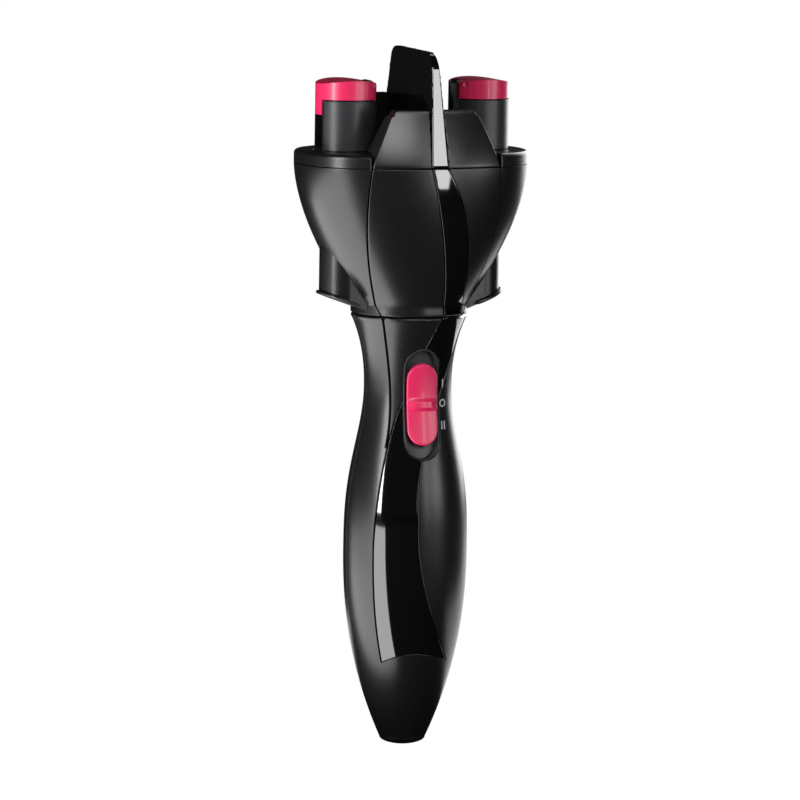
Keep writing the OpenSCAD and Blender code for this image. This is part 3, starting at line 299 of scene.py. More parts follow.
# ---- Forms of the handle and the head ----
@dataclass(frozen=True)
class HandleForm:
    """The handle: an oval section whose width follows the height above the tip."""

    foot: float
    length: float = 142.0
    tip_width: float = 15.2
    tip_round: float = 2.5
    tip_run: float = 6.5
    tip_open: float = 0.25
    tip_swell: float = 2.2
    grip_width: float = 40.8
    grip_height: float = 65.0
    waist_width: float = 28.8
    waist_drop: float = 24.0
    waist_blend: float = 1.4
    shoulder_width: float = 38.4
    shoulder_blend: float = 2.3
    flatness: float = 0.94
    unrolled: float = 18.0

    @property
    def waist_height(self) -> float:
        """Height of the waist above the tip."""
        return self.length - self.waist_drop

    @property
    def lowest(self) -> float:
        """Where the unrolled skin starts, with the rounded tip laid out flat below it."""
        return self.tip_round - self.tip_run

    def half_width(self, h: object) -> object:
        """Half width at a height, a number, an array or a term."""
        up = within((h - self.tip_round) / (self.grip_height - self.tip_round))
        low = mix(self.tip_width / 2, self.grip_width / 2, 1 - power(1 - up, self.tip_swell))
        rise = within((h - self.grip_height) / (self.waist_height - self.grip_height))
        ease = (1 - cosine(power(rise, self.waist_blend) * HALF_TURN)) / 2
        middle = mix(self.grip_width / 2, self.waist_width / 2, ease)
        flare = within((h - self.waist_height) / self.waist_drop)
        top = mix(self.waist_width / 2, self.shoulder_width / 2, power(flare, self.shoulder_blend))
        return choose(h, self.grip_height, low, choose(h, self.waist_height, middle, top))

    def skin(self, middle: float, inset: float = 0.0) -> Place:
        """Maps the unrolled skin to its place.

        Args:
            middle: angle of the unrolled skin's middle line, FRONT or REAR.
            inset: depth below the skin.

        Returns:
            A function from unrolled points to places in metres.
        """
        start = math.asin(self.tip_open)

        def place(flat: Points) -> Points:
            """Unrolled (u, v) to (x, y, z)."""
            angle = middle + flat[:, 0] / self.unrolled
            share = np.clip(1 - (self.tip_round - flat[:, 1]) / self.tip_run, 0.0, 1.0)
            lift = mix(start, QUARTER_TURN, share)
            tip = flat[:, 1] < self.tip_round
            height = np.where(tip, self.tip_round * (1 - np.cos(lift)), flat[:, 1])
            half = np.where(tip, self.tip_width / 2 * np.sin(lift), self.half_width(flat[:, 1]))
            return MM * np.stack([
                (half - inset) * np.cos(angle),
                (self.flatness * half - inset) * np.sin(angle),
                height + self.foot,
            ], axis=1)

        return place

    def unroll(self, outline: Points, middle: float) -> Points:
        """Turns an outline of (x, height) seen from the front into unrolled points."""
        turn = turn_to(outline[:, 0], self.half_width(outline[:, 1]), 2.0)
        side = 1.0 if middle == FRONT else -1.0
        return np.stack([side * self.unrolled * turn, outline[:, 1]], axis=1)


@dataclass(frozen=True)
class HeadForm:
    """The head's bowl: an oval that flares and grows squarer up to the deck."""

    base: float
    deck: float
    foot: float
    half_deck: float
    half_depth_deck: float
    shoulder_width: float = 38.4
    flatness: float = 0.94
    flare_start: float = 3.4
    swell: float = 1.7
    squareness: float = 2.3
    panel_foot: float = 28.4
    panel_wide: float = 45.2
    panel_peak: float = 0.79
    inlay_left_foot: float = 5.8
    inlay_left_bend: float = 1.5
    inlay_right_bend: float = 2.8
    strip_foot: float = 0.8
    fin_foot: float = 5.6
    unrolled: float = 28.0

    def share(self, h: object) -> object:
        """Share of the way up the flaring part."""
        start = self.base + self.flare_start
        return within((h - start) / (self.deck - start))

    def swept(self, h: object) -> object:
        """Share of the widening reached at a height."""
        return 1 - power(1 - self.share(h), self.swell)

    def half_width(self, h: object) -> object:
        """Half width at a height."""
        return mix(self.shoulder_width / 2, self.half_deck, self.swept(h))

    def half_depth(self, h: object) -> object:
        """Half depth at a height."""
        return mix(self.flatness * self.shoulder_width / 2, self.half_depth_deck, self.swept(h))

    def power_at(self, h: object) -> object:
        """Exponent of the section at a height."""
        return mix(2.0, self.squareness, self.share(h))

    def point(self, h: object, angle: object) -> tuple[object, object, object]:
        """Point of the skin, in millimetres above the tip.

        Args:
            h: height above the tip.
            angle: parameter angle, counted anticlockwise from +X.

        Returns:
            x, y and the height.
        """
        exponent = 2 / self.power_at(h)
        x = self.half_width(h) * signed_power(cosine(angle), exponent)
        y = self.half_depth(h) * signed_power(sine(angle), exponent)
        return x, y, h

    def panel_half(self, h: object) -> object:
        """Half width of the front panel at a height."""
        rise = (h - self.base) / (self.deck - self.base)
        fall = 1 - rise / self.panel_peak
        return self.panel_wide / 2 - (self.panel_wide - self.panel_foot) / 2 * (fall * fall)

    def inlay_left(self, h: object) -> object:
        """Left border of the glossy inlay."""
        rise = (h - self.base) / (self.deck - self.base)
        return mix(self.inlay_left_foot, -self.fin_foot / 2, power(within(rise), self.inlay_left_bend))

    def inlay_right(self, h: object) -> object:
        """Right border of the glossy inlay."""
        rise = (h - self.base) / (self.deck - self.base)
        foot = self.panel_foot / 2 - self.strip_foot
        return mix(foot, self.fin_foot / 2, power(within(rise), self.inlay_right_bend))

    def turn(self, x: object, h: object) -> object:
        """Angle from the front at which the skin passes x."""
        return turn_to(x, self.half_width(h), self.power_at(h))

    def skin(self, middle: float) -> Place:
        """Maps the skin unrolled about an angle to its place in metres."""

        def place(flat: Points) -> Points:
            """Unrolled (u, v) to (x, y, z)."""
            x, y, h = self.point(flat[:, 1], middle + flat[:, 0] / self.unrolled)
            return MM * np.stack([x, y, h + self.foot], axis=1)

        return place


# ---- Flat outlines ----
def loop_of(points: Sequence[Sequence[float]], step: float) -> Points:
    """Fills a closed outline's straight stretches with points no further apart than step."""
    corners = np.asarray(points, float)
    filled = []
    for start, end in zip(corners, np.roll(corners, -1, axis=0)):
        count = max(1, int(math.ceil(np.linalg.norm(end - start) / step)))
        filled.extend(start + (end - start) * i / count for i in range(count))
    return np.array(filled)


def arc(centre: Sequence[float], radius: float, start: float, end: float,
        count: int) -> list[tuple[float, float]]:
    """Points of an arc, its ends included."""
    angles = np.linspace(start, end, count)
    return [(centre[0] + radius * math.cos(a), centre[1] + radius * math.sin(a)) for a in angles]


def circle(centre: Sequence[float], radius: float, count: int = 40) -> Points:
    """A closed circle."""
    return np.array(arc(centre, radius, 0.0, 2 * HALF_TURN * (1 - 1 / count), count))


def stadium(middle: float, width: float, length: float, count: int = 17) -> list[tuple[float, float]]:
    """A slot outline with round ends, upright about x = 0."""
    reach = (length - width) / 2
    upper = arc((0.0, middle + reach), width / 2, 0.0, HALF_TURN, count)
    lower = arc((0.0, middle - reach), width / 2, HALF_TURN, 2 * HALF_TURN, count)
    return upper + lower


def round_box(middle: float, width: float, length: float, radius: float) -> list[tuple[float, float]]:
    """A rectangle with round corners, upright about x = 0."""
    corners = []
    for x, y, start in ((1, 1, 0.0), (-1, 1, QUARTER_TURN), (-1, -1, HALF_TURN), (1, -1, -QUARTER_TURN)):
        centre = (x * (width / 2 - radius), middle + y * (length / 2 - radius))
        corners += arc(centre, radius, start, start + QUARTER_TURN, 9)
    return corners


def inside(points: Points, loop: Points) -> np.ndarray:
    """Which points lie inside a closed loop."""
    x, y = points[:, 0][:, None], points[:, 1][:, None]
    x0, y0 = loop[:, 0][None, :], loop[:, 1][None, :]
    x1, y1 = np.roll(loop[:, 0], -1)[None, :], np.roll(loop[:, 1], -1)[None, :]
    rise = np.where(y1 == y0, NOTHING, y1 - y0)
    hits = ((y0 > y) != (y1 > y)) & (x < x0 + (x1 - x0) * (y - y0) / rise)
    return (hits.sum(axis=1) % 2).astype(bool)


def unit(vectors: Points) -> Points:
    """The vectors at length 1."""
    return vectors / np.maximum(np.linalg.norm(vectors, axis=1, keepdims=True), NOTHING)


# ---- Plates: moulded pieces with a rounded rim ----
BATCH = 200  # outline points measured at a time
MERGE = 1e-5  # distance in millimetres under which flat points are one
PROBE = 1e-3  # step in millimetres that finds a surface's normal
SMALLEST_AREA = 1e-7  # twice a triangle's area in square millimetres
RIM_REACH = 1.1  # clear band along a rim, in roundings
SHARPEST_CORNER = 0.6  # limits how far a corner's rounding is lengthened
WIDEST_ROUNDING = 0.9  # share of the thickness that a rounding may take
SQUARE = 0.02  # rounding in millimetres of a hidden rim


@dataclass
class Mesh:
    """Points, faces and one normal for each corner of each face."""

    points: Points
    faces: list[tuple[int, ...]]
    normals: Points

    def joined(self, *others: "Mesh") -> "Mesh":
        """This mesh and others as one."""
        points, faces, normals, shift = [self.points], list(self.faces), [self.normals], len(self.points)
        for other in others:
            points.append(other.points)
            normals.append(other.normals)
            faces += [tuple(i + shift for i in face) for face in other.faces]
            shift += len(other.points)
        return Mesh(np.vstack(points), faces, np.vstack(normals))


@dataclass(frozen=True)
class Plate:
    """A closed plate that follows a surface, with a rounded upper rim.

    The first outline is its border, and the others are its openings.
    """

    place: Place
    outlines: tuple[Points, ...]
    thickness: float | Callable[[Points], np.ndarray]
    spacing: float = 1.0
    radius: float | Callable[[Points], np.ndarray] = 0.2
    steps: int = 4
    depth: tuple[float, float, float] | None = None

    def build(self) -> Mesh:
        """Makes the plate.

        Returns:
            The plate as a closed mesh.
        """
        flat, triangles = self._triangulate()
        top, normal = self._surface(flat)
        thick = MM * self._values(self.thickness, flat)
        edges = self._rim_edges(triangles)
        rim = np.unique(edges)
        out = self._outward(top, normal, edges, rim)
        radius = MM * self._values(self.radius, flat[rim])
        return self._assemble(top, normal, thick, triangles, edges, rim, out, radius)

    @staticmethod
    def _values(size: object, flat: Points) -> np.ndarray:
        """A size as one value for each point."""
        return np.asarray(size(flat), float) if callable(size) else np.full(len(flat), float(size))

    def _kept(self, points: Points) -> np.ndarray:
        """Which points lie inside the border and outside the openings."""
        border, *openings = self.outlines
        kept = inside(points, border)
        for opening in openings:
            kept &= ~inside(points, opening)
        return kept

    def _triangulate(self) -> tuple[Points, np.ndarray]:
        """Fills the kept region with even triangles that meet its outlines."""
        low = np.min([o.min(axis=0) for o in self.outlines], axis=0)
        high = np.max([o.max(axis=0) for o in self.outlines], axis=0)
        row = self.spacing * math.sqrt(3) / 2
        rows = np.arange(low[1] + row / 2, high[1], row)
        grid = [(x + (i % 2) * self.spacing / 2, y) for i, y in enumerate(rows)
                for x in np.arange(low[0], high[0], self.spacing)]
        points = np.array(grid)
        points = points[self._kept(points)]
        line = np.vstack(self.outlines)
        reach = RIM_REACH * self._values(self.radius, line)
        clear = np.ones(len(points), bool)
        for start in range(0, len(line), BATCH):
            part = line[start:start + BATCH]
            gap = np.hypot(points[:, None, 0] - part[None, :, 0], points[:, None, 1] - part[None, :, 1])
            clear &= (gap - reach[None, start:start + BATCH]).min(axis=1) > self.spacing / 2
        points = points[clear]
        verts, edges = [], []
        for outline in self.outlines:
            first, count = len(verts), len(outline)
            verts += [Vector(p) for p in outline]
            edges += [(first + i, first + (i + 1) % count) for i in range(count)]
        verts += [Vector(p) for p in points]
        flat, _, faces, *_ = delaunay_2d_cdt(verts, edges, [], 0, MERGE)
        flat = np.array([tuple(p) for p in flat])
        faces = np.array([f for f in faces if len(f) == 3])
        a, b, c = flat[faces[:, 0]], flat[faces[:, 1]], flat[faces[:, 2]]
        area = (b[:, 0] - a[:, 0]) * (c[:, 1] - a[:, 1]) - (b[:, 1] - a[:, 1]) * (c[:, 0] - a[:, 0])
        faces = np.where((area < 0)[:, None], faces[:, ::-1], faces)
        kept = self._kept((a + b + c) / 3) & (np.abs(area) > SMALLEST_AREA)
        faces = faces[kept]
        used, faces = np.unique(faces, return_inverse=True)
        return flat[used], faces.reshape(-1, 3)

    def _surface(self, flat: Points) -> tuple[Points, Points]:
        """Places of flat points and the surface's normals there."""
        along = self.place(flat + (PROBE, 0)) - self.place(flat - (PROBE, 0))
        up = self.place(flat + (0, PROBE)) - self.place(flat - (0, PROBE))
        return self.place(flat), unit(np.cross(along, up))

    @staticmethod
    def _rim_edges(triangles: np.ndarray) -> np.ndarray:
        """Edges with one triangle, in that triangle's direction."""
        sides = np.vstack([triangles[:, [0, 1]], triangles[:, [1, 2]], triangles[:, [2, 0]]])
        seen = {tuple(side) for side in sides.tolist()}
        return np.array([side for side in sides.tolist() if (side[1], side[0]) not in seen])

    @staticmethod
    def _outward(top: Points, normal: Points, edges: np.ndarray, rim: np.ndarray) -> Points:
        """Direction out of the plate at each rim point, lengthened at corners."""
        along = top[edges[:, 1]] - top[edges[:, 0]]
        outs = unit(np.cross(along, normal[edges[:, 0]] + normal[edges[:, 1]]))
        total = np.zeros_like(top)
        for end in (0, 1):
            np.add.at(total, edges[:, end], outs)
        mean = unit(total)
        reach = np.ones(len(top))
        for end in (0, 1):
            np.minimum.at(reach, edges[:, end], np.sum(mean[edges[:, end]] * outs, axis=1))
        return (mean / np.maximum(reach, SHARPEST_CORNER)[:, None])[rim]

    def _assemble(self, top: Points, normal: Points, thick: np.ndarray, triangles: np.ndarray,
                  edges: np.ndarray, rim: np.ndarray, out: Points, radius: np.ndarray) -> Mesh:
        """Joins the face, the rounded rim, the wall and the back."""
        angles = np.linspace(0.0, QUARTER_TURN, self.steps + 1)
        rim_normal, rim_thick = normal[rim], thick[rim]
        radius = np.minimum(radius, WIDEST_ROUNDING * rim_thick)
        face = top.copy()
        rings = []
        for angle in angles:
            inward = radius * (1 - math.sin(angle))
            depth = radius * (1 - math.cos(angle))
            rings.append(top[rim] - out * inward[:, None] - rim_normal * depth[:, None])
        face[rim] = rings[0]
        inward = -normal if self.depth is None else np.tile(np.asarray(self.depth, float), (len(top), 1))
        rings.append(top[rim] + inward[rim] * rim_thick[:, None])
        back = top + inward * thick[:, None]
        count, edge_count = len(top), len(rim)
        slot = np.zeros(count, int)
        slot[rim] = np.arange(edge_count)
        points = np.vstack([face, *rings[1:], back])
        rings_start = [None] + [count + i * edge_count for i in range(len(rings) - 1)]
        back_start = count + (len(rings) - 1) * edge_count

        def ring_index(level: int, vertex: np.ndarray) -> np.ndarray:
            """Index of a rim point at one level of the rim."""
            return vertex if level == 0 else rings_start[level] + slot[vertex]

        faces = [tuple(t) for t in triangles.tolist()]
        normals = [normal[triangles].reshape(-1, 3)]
        flat_out = unit(out)
        wall_out = unit(out - inward[rim] * np.sum(out * inward[rim], axis=1)[:, None])
        last = len(rings) - 1
        for level in range(last):
            a, b = edges[:, 0], edges[:, 1]
            quads = np.stack([
                ring_index(level, b), ring_index(level, a),
                ring_index(level + 1, a), ring_index(level + 1, b),
            ], axis=1)
            faces += [tuple(q) for q in quads.tolist()]
            upper = angles[min(level, self.steps)]
            lower = angles[min(level + 1, self.steps)]
            bend = [math.cos(upper) * rim_normal + math.sin(upper) * flat_out,
                    math.cos(lower) * rim_normal + math.sin(lower) * flat_out]
            if level == last - 1:
                bend = [wall_out, wall_out]
            normals.append(np.stack([
                bend[0][slot[b]], bend[0][slot[a]], bend[1][slot[a]], bend[1][slot[b]],
            ], axis=1).reshape(-1, 3))
        under = np.where(np.isin(triangles, rim), ring_index(last, triangles), back_start + triangles)
        faces += [tuple(t) for t in under[:, ::-1].tolist()]
        normals.append(-normal[triangles[:, ::-1]].reshape(-1, 3))
        return Mesh(points, faces, unit(np.vstack(normals)))


def lens(centre: Sequence[float], radii: Sequence[float], around: int = 24, rows: int = 8) -> Mesh:
    """A closed ellipsoid, in millimetres.

    Args:
        centre: its middle.
        radii: its half sizes along X, Y and Z.
        around: points round it.
        rows: rows from pole to pole.

    Returns:
        The closed mesh.
    """
    lifts = np.linspace(-QUARTER_TURN, QUARTER_TURN, rows + 1)[1:-1]
    turns = np.arange(around) * 2 * HALF_TURN / around
    ball = [(0.0, 0.0, -1.0)]
    ball += [(math.cos(lift) * math.cos(turn), math.cos(lift) * math.sin(turn), math.sin(lift))
             for lift in lifts for turn in turns]
    ball.append((0.0, 0.0, 1.0))
    shape = np.array(ball)
    top = len(shape) - 1
    faces: list[tuple[int, ...]] = []
    for j in range(around):
        after = (j + 1) % around
        faces.append((0, 1 + after, 1 + j))
        faces.append((top, top - around + j, top - around + after))
        for i in range(len(lifts) - 1):
            row = 1 + i * around
            faces.append((row + j, row + after, row + around + after, row + around + j))
    normals = unit(shape / np.asarray(radii))
    corners = np.concatenate([np.asarray(face) for face in faces])
    return Mesh(MM * (shape * radii + np.asarray(centre)), faces, normals[corners])


# ---- Finishes ----
class Slot(Enum):
    """Material slots of the record."""

    SATIN = "satin_black"
    GLOSS = "gloss_black"
    DARK = "dark_grey"
    PANEL = "panel_grey"
    PINK = "pink"
    STEEL = "steel"
    SPRING = "spring_steel"
    NYLON = "nylon"
    CELL = "cell_wrap"
    RUBBER = "rubber"


@dataclass(frozen=True)
class Finish:
    """A procedural finish: a colour with a fine grain and an uneven gloss."""

    colour: tuple[float, float, float]
    roughness: float
    metallic: float = 0.0
    coat: float = 0.0
    grain: float = 0.0
    grain_size: float = 0.3
    uneven: float = 0.03
    brushed: float = 1.0
    band: tuple[float, float, float] | None = None
    patches: float = 45.0
    dull: float = 0.88
    coat_roughness: float = 0.06
    grain_depth: float = 0.05
    band_pitch: float = 0.017
    band_start: float = 0.0125

    def material(self, name: str) -> bpy.types.Material:
        """Builds the finish.

        Args:
            name: the material's name.

        Returns:
            The new material.
        """
        made = bpy.data.materials.new(name)
        made.use_nodes = True
        made.node_tree.nodes.clear()
        tree = Tree(made.node_tree)
        place = tree.out(tree.node("ShaderNodeTexCoord"), "Object")
        stretched = tree.out(tree.node("ShaderNodeVectorMath", {"operation": "MULTIPLY"}, place,
                                       (1.0, 1.0, self.brushed)))
        patch = tree.out(tree.node("ShaderNodeTexNoise", None, Vector=place, Scale=self.patches, Detail=3.0),
                         "Fac")
        grain = tree.out(tree.node("ShaderNodeTexNoise", None, Vector=stretched,
                                   Scale=1 / (self.grain_size * MM), Detail=2.0), "Fac")
        gloss = mix(self.roughness - self.uneven, self.roughness + self.uneven, patch)
        colour = self._colour(tree, place, patch)
        shader = tree.node("ShaderNodeBsdfPrincipled", None, Base_Color=colour, Roughness=gloss,
                           Metallic=self.metallic, Coat_Weight=self.coat,
                           Coat_Roughness=self.coat_roughness)
        if self.grain:
            bump = tree.node("ShaderNodeBump", None, Strength=self.grain, Distance=self.grain_depth * MM,
                             Height=grain)
            tree.tree.links.new(bump.outputs[0], shader.inputs["Normal"])
        tree.node("ShaderNodeOutputMaterial", None, tree.out(shader))
        return made

    def _colour(self, tree: Tree, place: Term, patch: Term) -> Term:
        """The finish's colour, a little uneven, with printed bands if it has them."""
        dull = tuple(self.dull * c for c in self.colour)
        base = tree.blend(patch, (*dull, 1.0), (*self.colour, 1.0))
        if self.band is None:
            return base
        parts = tree.node("ShaderNodeSeparateXYZ", None, place)
        ring = tree.math("PINGPONG", tree.out(parts, 2), self.band_pitch)
        return tree.blend(tree.math("GREATER_THAN", ring, self.band_start), base, (*self.band, 1.0))


FINISHES = {
    Slot.SATIN: Finish((0.006, 0.006, 0.007), 0.28, grain=0.3, grain_size=0.22),
    Slot.GLOSS: Finish((0.002, 0.002, 0.002), 0.05, coat=1.0, uneven=0.01),
    Slot.DARK: Finish((0.032, 0.034, 0.037), 0.42, grain=0.3),
    Slot.PANEL: Finish((0.022, 0.022, 0.025), 0.36, grain=0.45, grain_size=0.25),
    Slot.PINK: Finish((0.66, 0.018, 0.095), 0.34, coat=0.15, grain=0.08),
    Slot.STEEL: Finish((0.62, 0.63, 0.65), 0.28, metallic=1.0, grain=0.15, brushed=0.05),
    Slot.SPRING: Finish((0.55, 0.56, 0.58), 0.22, metallic=1.0),
    Slot.NYLON: Finish((0.80, 0.79, 0.74), 0.5, grain=0.2),
    Slot.CELL: Finish((0.03, 0.16, 0.08), 0.3, coat=0.3, band=(0.62, 0.50, 0.18)),
    Slot.RUBBER: Finish((0.05, 0.05, 0.055), 0.75, grain=0.5, grain_size=0.5),
}
PIN_HEAD = Finish((0.5, 0.013, 0.07), 0.6)
MARK_FINISH = Finish((0.55, 0.56, 0.58), 0.5)


# ---- Making and handing over pieces ----
class Workshop:
    """Makes finished pieces and hands them to the frame."""

    weld = 2e-6
    flat_angle = math.radians(0.6)

    def __init__(self, packed: dict) -> None:
        """Reads the frame's nodes and makes every finish.
        """
        self.nodes = packed["nodes"]
        self.materials = {slot: finish.material(slot.value) for slot, finish in FINISHES.items()}
        self.pin_head = PIN_HEAD.material("pin_head_pink")
        self.slots = {row["node"]: Slot(row["material_slot"]) for row in packed["record"]["subparts"]}
        self.bodies = {node: body for body, nodes in packed["record"]["behaviour"]["bodies"].items()
                       for node in nodes}

    def paint_nodes(self) -> None:
        """Gives every CAD node the procedural finish of its slot, and the clip pins a pink finish of their
        own.
        """
        for name, obj in self.nodes.items():
            obj.data.materials.clear()
            finish = self.pin_head if name.startswith("clip_pin") else self.materials[self.slots[name]]
            obj.data.materials.append(finish)

    def object_of(self, name: str, mesh: Mesh) -> bpy.types.Object:
        """Turns a mesh with its normals into an object."""
        data = bpy.data.meshes.new(name)
        data.from_pydata([tuple(p) for p in mesh.points], [], mesh.faces)
        data.shade_smooth()
        data.normals_split_custom_set([tuple(n) for n in mesh.normals])
        obj = bpy.data.objects.new(name, data)
        bpy.context.scene.collection.objects.link(obj)
        return obj

    def deliver(self, obj: bpy.types.Object, slot: Slot, *nodes: str, body: str | None = None,
                material: bpy.types.Material | None = None) -> bpy.types.Object:
        """Paints a piece and lets it stand for its CAD nodes.

        Args:
            obj: the finished piece, in place.
            slot: its material slot.
            nodes: the CAD nodes that it replaces.
            body: the body that it moves with, if it replaces none.
            material: a finish of its own.

        Returns:
            The piece.
        """
        obj.data.materials.clear()
        obj.data.materials.append(material or self.materials[slot])
        if nodes:
            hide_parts(*nodes)
        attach(obj, body or self.bodies[nodes[0]])
        log.info("%s: %d faces", obj.name, len(obj.data.polygons))
        return obj

    def add(self, name: str, mesh: Mesh, slot: Slot, *nodes: str, body: str | None = None,
            material: bpy.types.Material | None = None) -> bpy.types.Object:
        """Makes an object of a mesh and delivers it."""
        return self.deliver(self.object_of(name, mesh), slot, *nodes, body=body, material=material)

    @staticmethod
    def settle(obj: bpy.types.Object) -> bpy.types.Object:
        """Turns an object with modifiers into a plain one of the same name."""
        graph = bpy.context.evaluated_depsgraph_get()
        data = bpy.data.meshes.new_from_object(obj.evaluated_get(graph), depsgraph=graph)
        obj.modifiers.clear()
        obj.data = data
        return obj

    @staticmethod
    def soften(obj: bpy.types.Object, width: float, sharpest: float = 30.0) -> None:
        """Adds rounded edges with even shading.

        Args:
            obj: the object to soften.
            width: width of the rounding in millimetres.
            sharpest: angle in degrees above which an edge is rounded.
        """
        bevel = obj.modifiers.new("Rounded edges", "BEVEL")
        bevel.width = width * MM
        bevel.segments = 3
        bevel.limit_method = "ANGLE"
        bevel.angle_limit = math.radians(sharpest)
        bevel.use_clamp_overlap = True
        even = obj.modifiers.new("Even shading", "WEIGHTED_NORMAL")
        even.keep_sharp = False

    def polished(self, name: str, width: float, *nodes: str) -> bpy.types.Object:
        """A softened copy of CAD nodes, which it replaces.

        Args:
            name: the piece's name.
            width: rounding of its edges in millimetres.
            nodes: the nodes to copy.

        Returns:
            The piece.
        """
        bm = bmesh.new()
        for node in nodes:
            bm.from_mesh(self.nodes[node].data)
        bmesh.ops.remove_doubles(bm, verts=bm.verts, dist=self.weld)
        bmesh.ops.dissolve_limit(bm, angle_limit=self.flat_angle, verts=bm.verts, edges=bm.edges)
        data = bpy.data.meshes.new(name)
        bm.to_mesh(data)
        bm.free()
        data.shade_smooth()
        obj = bpy.data.objects.new(name, data)
        bpy.context.scene.collection.objects.link(obj)
        self.soften(obj, width)
        return self.deliver(self.settle(obj), self.slots[nodes[0]], *nodes)


class Generated:
    """A geometry node tree with named inputs that ends in real geometry and a material."""

    def __init__(self, name: str, **sizes: float | int) -> None:
        """Makes the tree and its inputs.

        Args:
            name: the tree's name.
            sizes: its inputs and their values; whole numbers make integer inputs.
        """
        self.name = name
        self.group = bpy.data.node_groups.new(name, "GeometryNodeTree")
        self.tree = Tree(self.group)
        self.sizes = sizes
        self.identifiers = {}
        for key, value in sizes.items():
            kind = "NodeSocketInt" if isinstance(value, int) else "NodeSocketFloat"
            socket = self.group.interface.new_socket(key.replace("_", " "), in_out="INPUT",
                                                     socket_type=kind)
            self.identifiers[key] = socket.identifier
        finish = self.group.interface.new_socket("Finish", in_out="INPUT", socket_type="NodeSocketMaterial")
        self.identifiers["Finish"] = finish.identifier
        self.group.interface.new_socket("Geometry", in_out="OUTPUT", socket_type="NodeSocketGeometry")
        self.given = self.tree.node("NodeGroupInput")

    def size(self, key: str) -> Term:
        """The input of that name."""
        return self.tree.out(self.given, key.replace("_", " "))

    def close(self, geometry: Term) -> None:
        """Ends the tree with smooth shading, real instances and the finish."""
        smooth = self.tree.node("GeometryNodeSetShadeSmooth", None, Geometry=geometry, Shade_Smooth=True)
        real = self.tree.node("GeometryNodeRealizeInstances", None, self.tree.out(smooth))
        painted = self.tree.node("GeometryNodeSetMaterial", None, Geometry=self.tree.out(real),
                                 Material=self.size("Finish"))
        self.tree.node("NodeGroupOutput", None, self.tree.out(painted))

    def start(self, finish: bpy.types.Material) -> bpy.types.Object:
        """Puts the tree on a new object.

        Args:
            finish: the object's material.

        Returns:
            An object with the tree as its modifier and its inputs set.
        """
        obj = bpy.data.objects.new(self.name, bpy.data.meshes.new(self.name))
        bpy.context.scene.collection.objects.link(obj)
        modifier = obj.modifiers.new("Form", "NODES")
        modifier.node_group = self.group
        for key, value in self.sizes.items():
            modifier[self.identifiers[key]] = value
        modifier[self.identifiers["Finish"]] = finish
        return obj


# ---- The handle ----
@dataclass(frozen=True)
class InlayBorders:
    """Borders of the glossy inlay, as distances from the middle at a height."""

    top: float
    foot: float = 29.0
    foot_arc: float = 3.2
    left_turn: float = 66.0
    left_far: float = -15.6
    left_top: float = 5.4
    left_foot: float = -11.7
    left_rise: float = 1.9
    left_fall: float = 2.3
    right_turn: float = 82.0
    right_bend: float = 72.0
    right_near: float = -2.75
    right_top: float = 18.3
    right_foot: float = 10.4
    right_rise: float = 1.5
    right_fall: float = 1.85

    def left(self, h: np.ndarray) -> np.ndarray:
        """Left border at heights."""
        up = np.maximum(h - self.left_turn, 0) / (self.top - self.left_turn)
        down = np.maximum(self.left_turn - h, 0) / (self.left_turn - self.foot)
        above = mix(self.left_far, self.left_top, power(up, self.left_rise))
        below = mix(self.left_far, self.left_foot, power(down, self.left_fall))
        return np.where(h > self.left_turn, above, below)

    def right(self, h: np.ndarray) -> np.ndarray:
        """Right border at heights."""
        up = np.maximum(h - self.right_turn, 0) / (self.top - self.right_turn)
        down = within((self.right_bend - h) / (self.right_bend - self.foot))
        above = mix(self.right_near, self.right_top, power(up, self.right_rise))
        below = mix(self.right_near, self.right_foot, power(down, self.right_fall))
        return np.where(h > self.right_turn, above, below)

    def outline(self, widen: float, over: float = 0.0) -> Points:
        """The inlay's outline as (x, height).

        Args:
            widen: how far it is grown on each side.
            over: how far it runs past the handle's upper end.

        Returns:
            The closed outline.
        """
        base = self.foot - widen
        rows = np.linspace(self.top + over, base, 170)
        right = np.stack([self.right(rows) + widen, rows], axis=1)
        share = np.linspace(1.0, 0.0, 50)[1:-1]
        lift = base + self.foot_arc * (1 - (2 * share - 1) ** 2)
        across = mix(self.left(lift) - widen, self.right(lift) + widen, share)
        foot = np.stack([across, lift], axis=1)
        left = np.stack([self.left(rows) - widen, rows], axis=1)[::-1]
        return np.vstack([right, foot, left])


def ribbon(line: Sequence[tuple[float, float]], width: float, step: float = 0.7) -> Points:
    """A closed band of even width along a smooth line through the points."""
    knots = np.asarray(line, float)
    reach = np.concatenate([[0], np.cumsum(np.linalg.norm(np.diff(knots, axis=0), axis=1))])
    fit = [np.polyfit(reach, knots[:, i], 3) for i in (0, 1)]
    along = np.linspace(0, reach[-1], int(reach[-1] / step))
    middle = np.stack([np.polyval(f, along) for f in fit], axis=1)
    side = unit(np.gradient(middle, axis=0))[:, ::-1] * (1, -1)
    return np.vstack([middle + side * width / 2, (middle - side * width / 2)[::-1]])


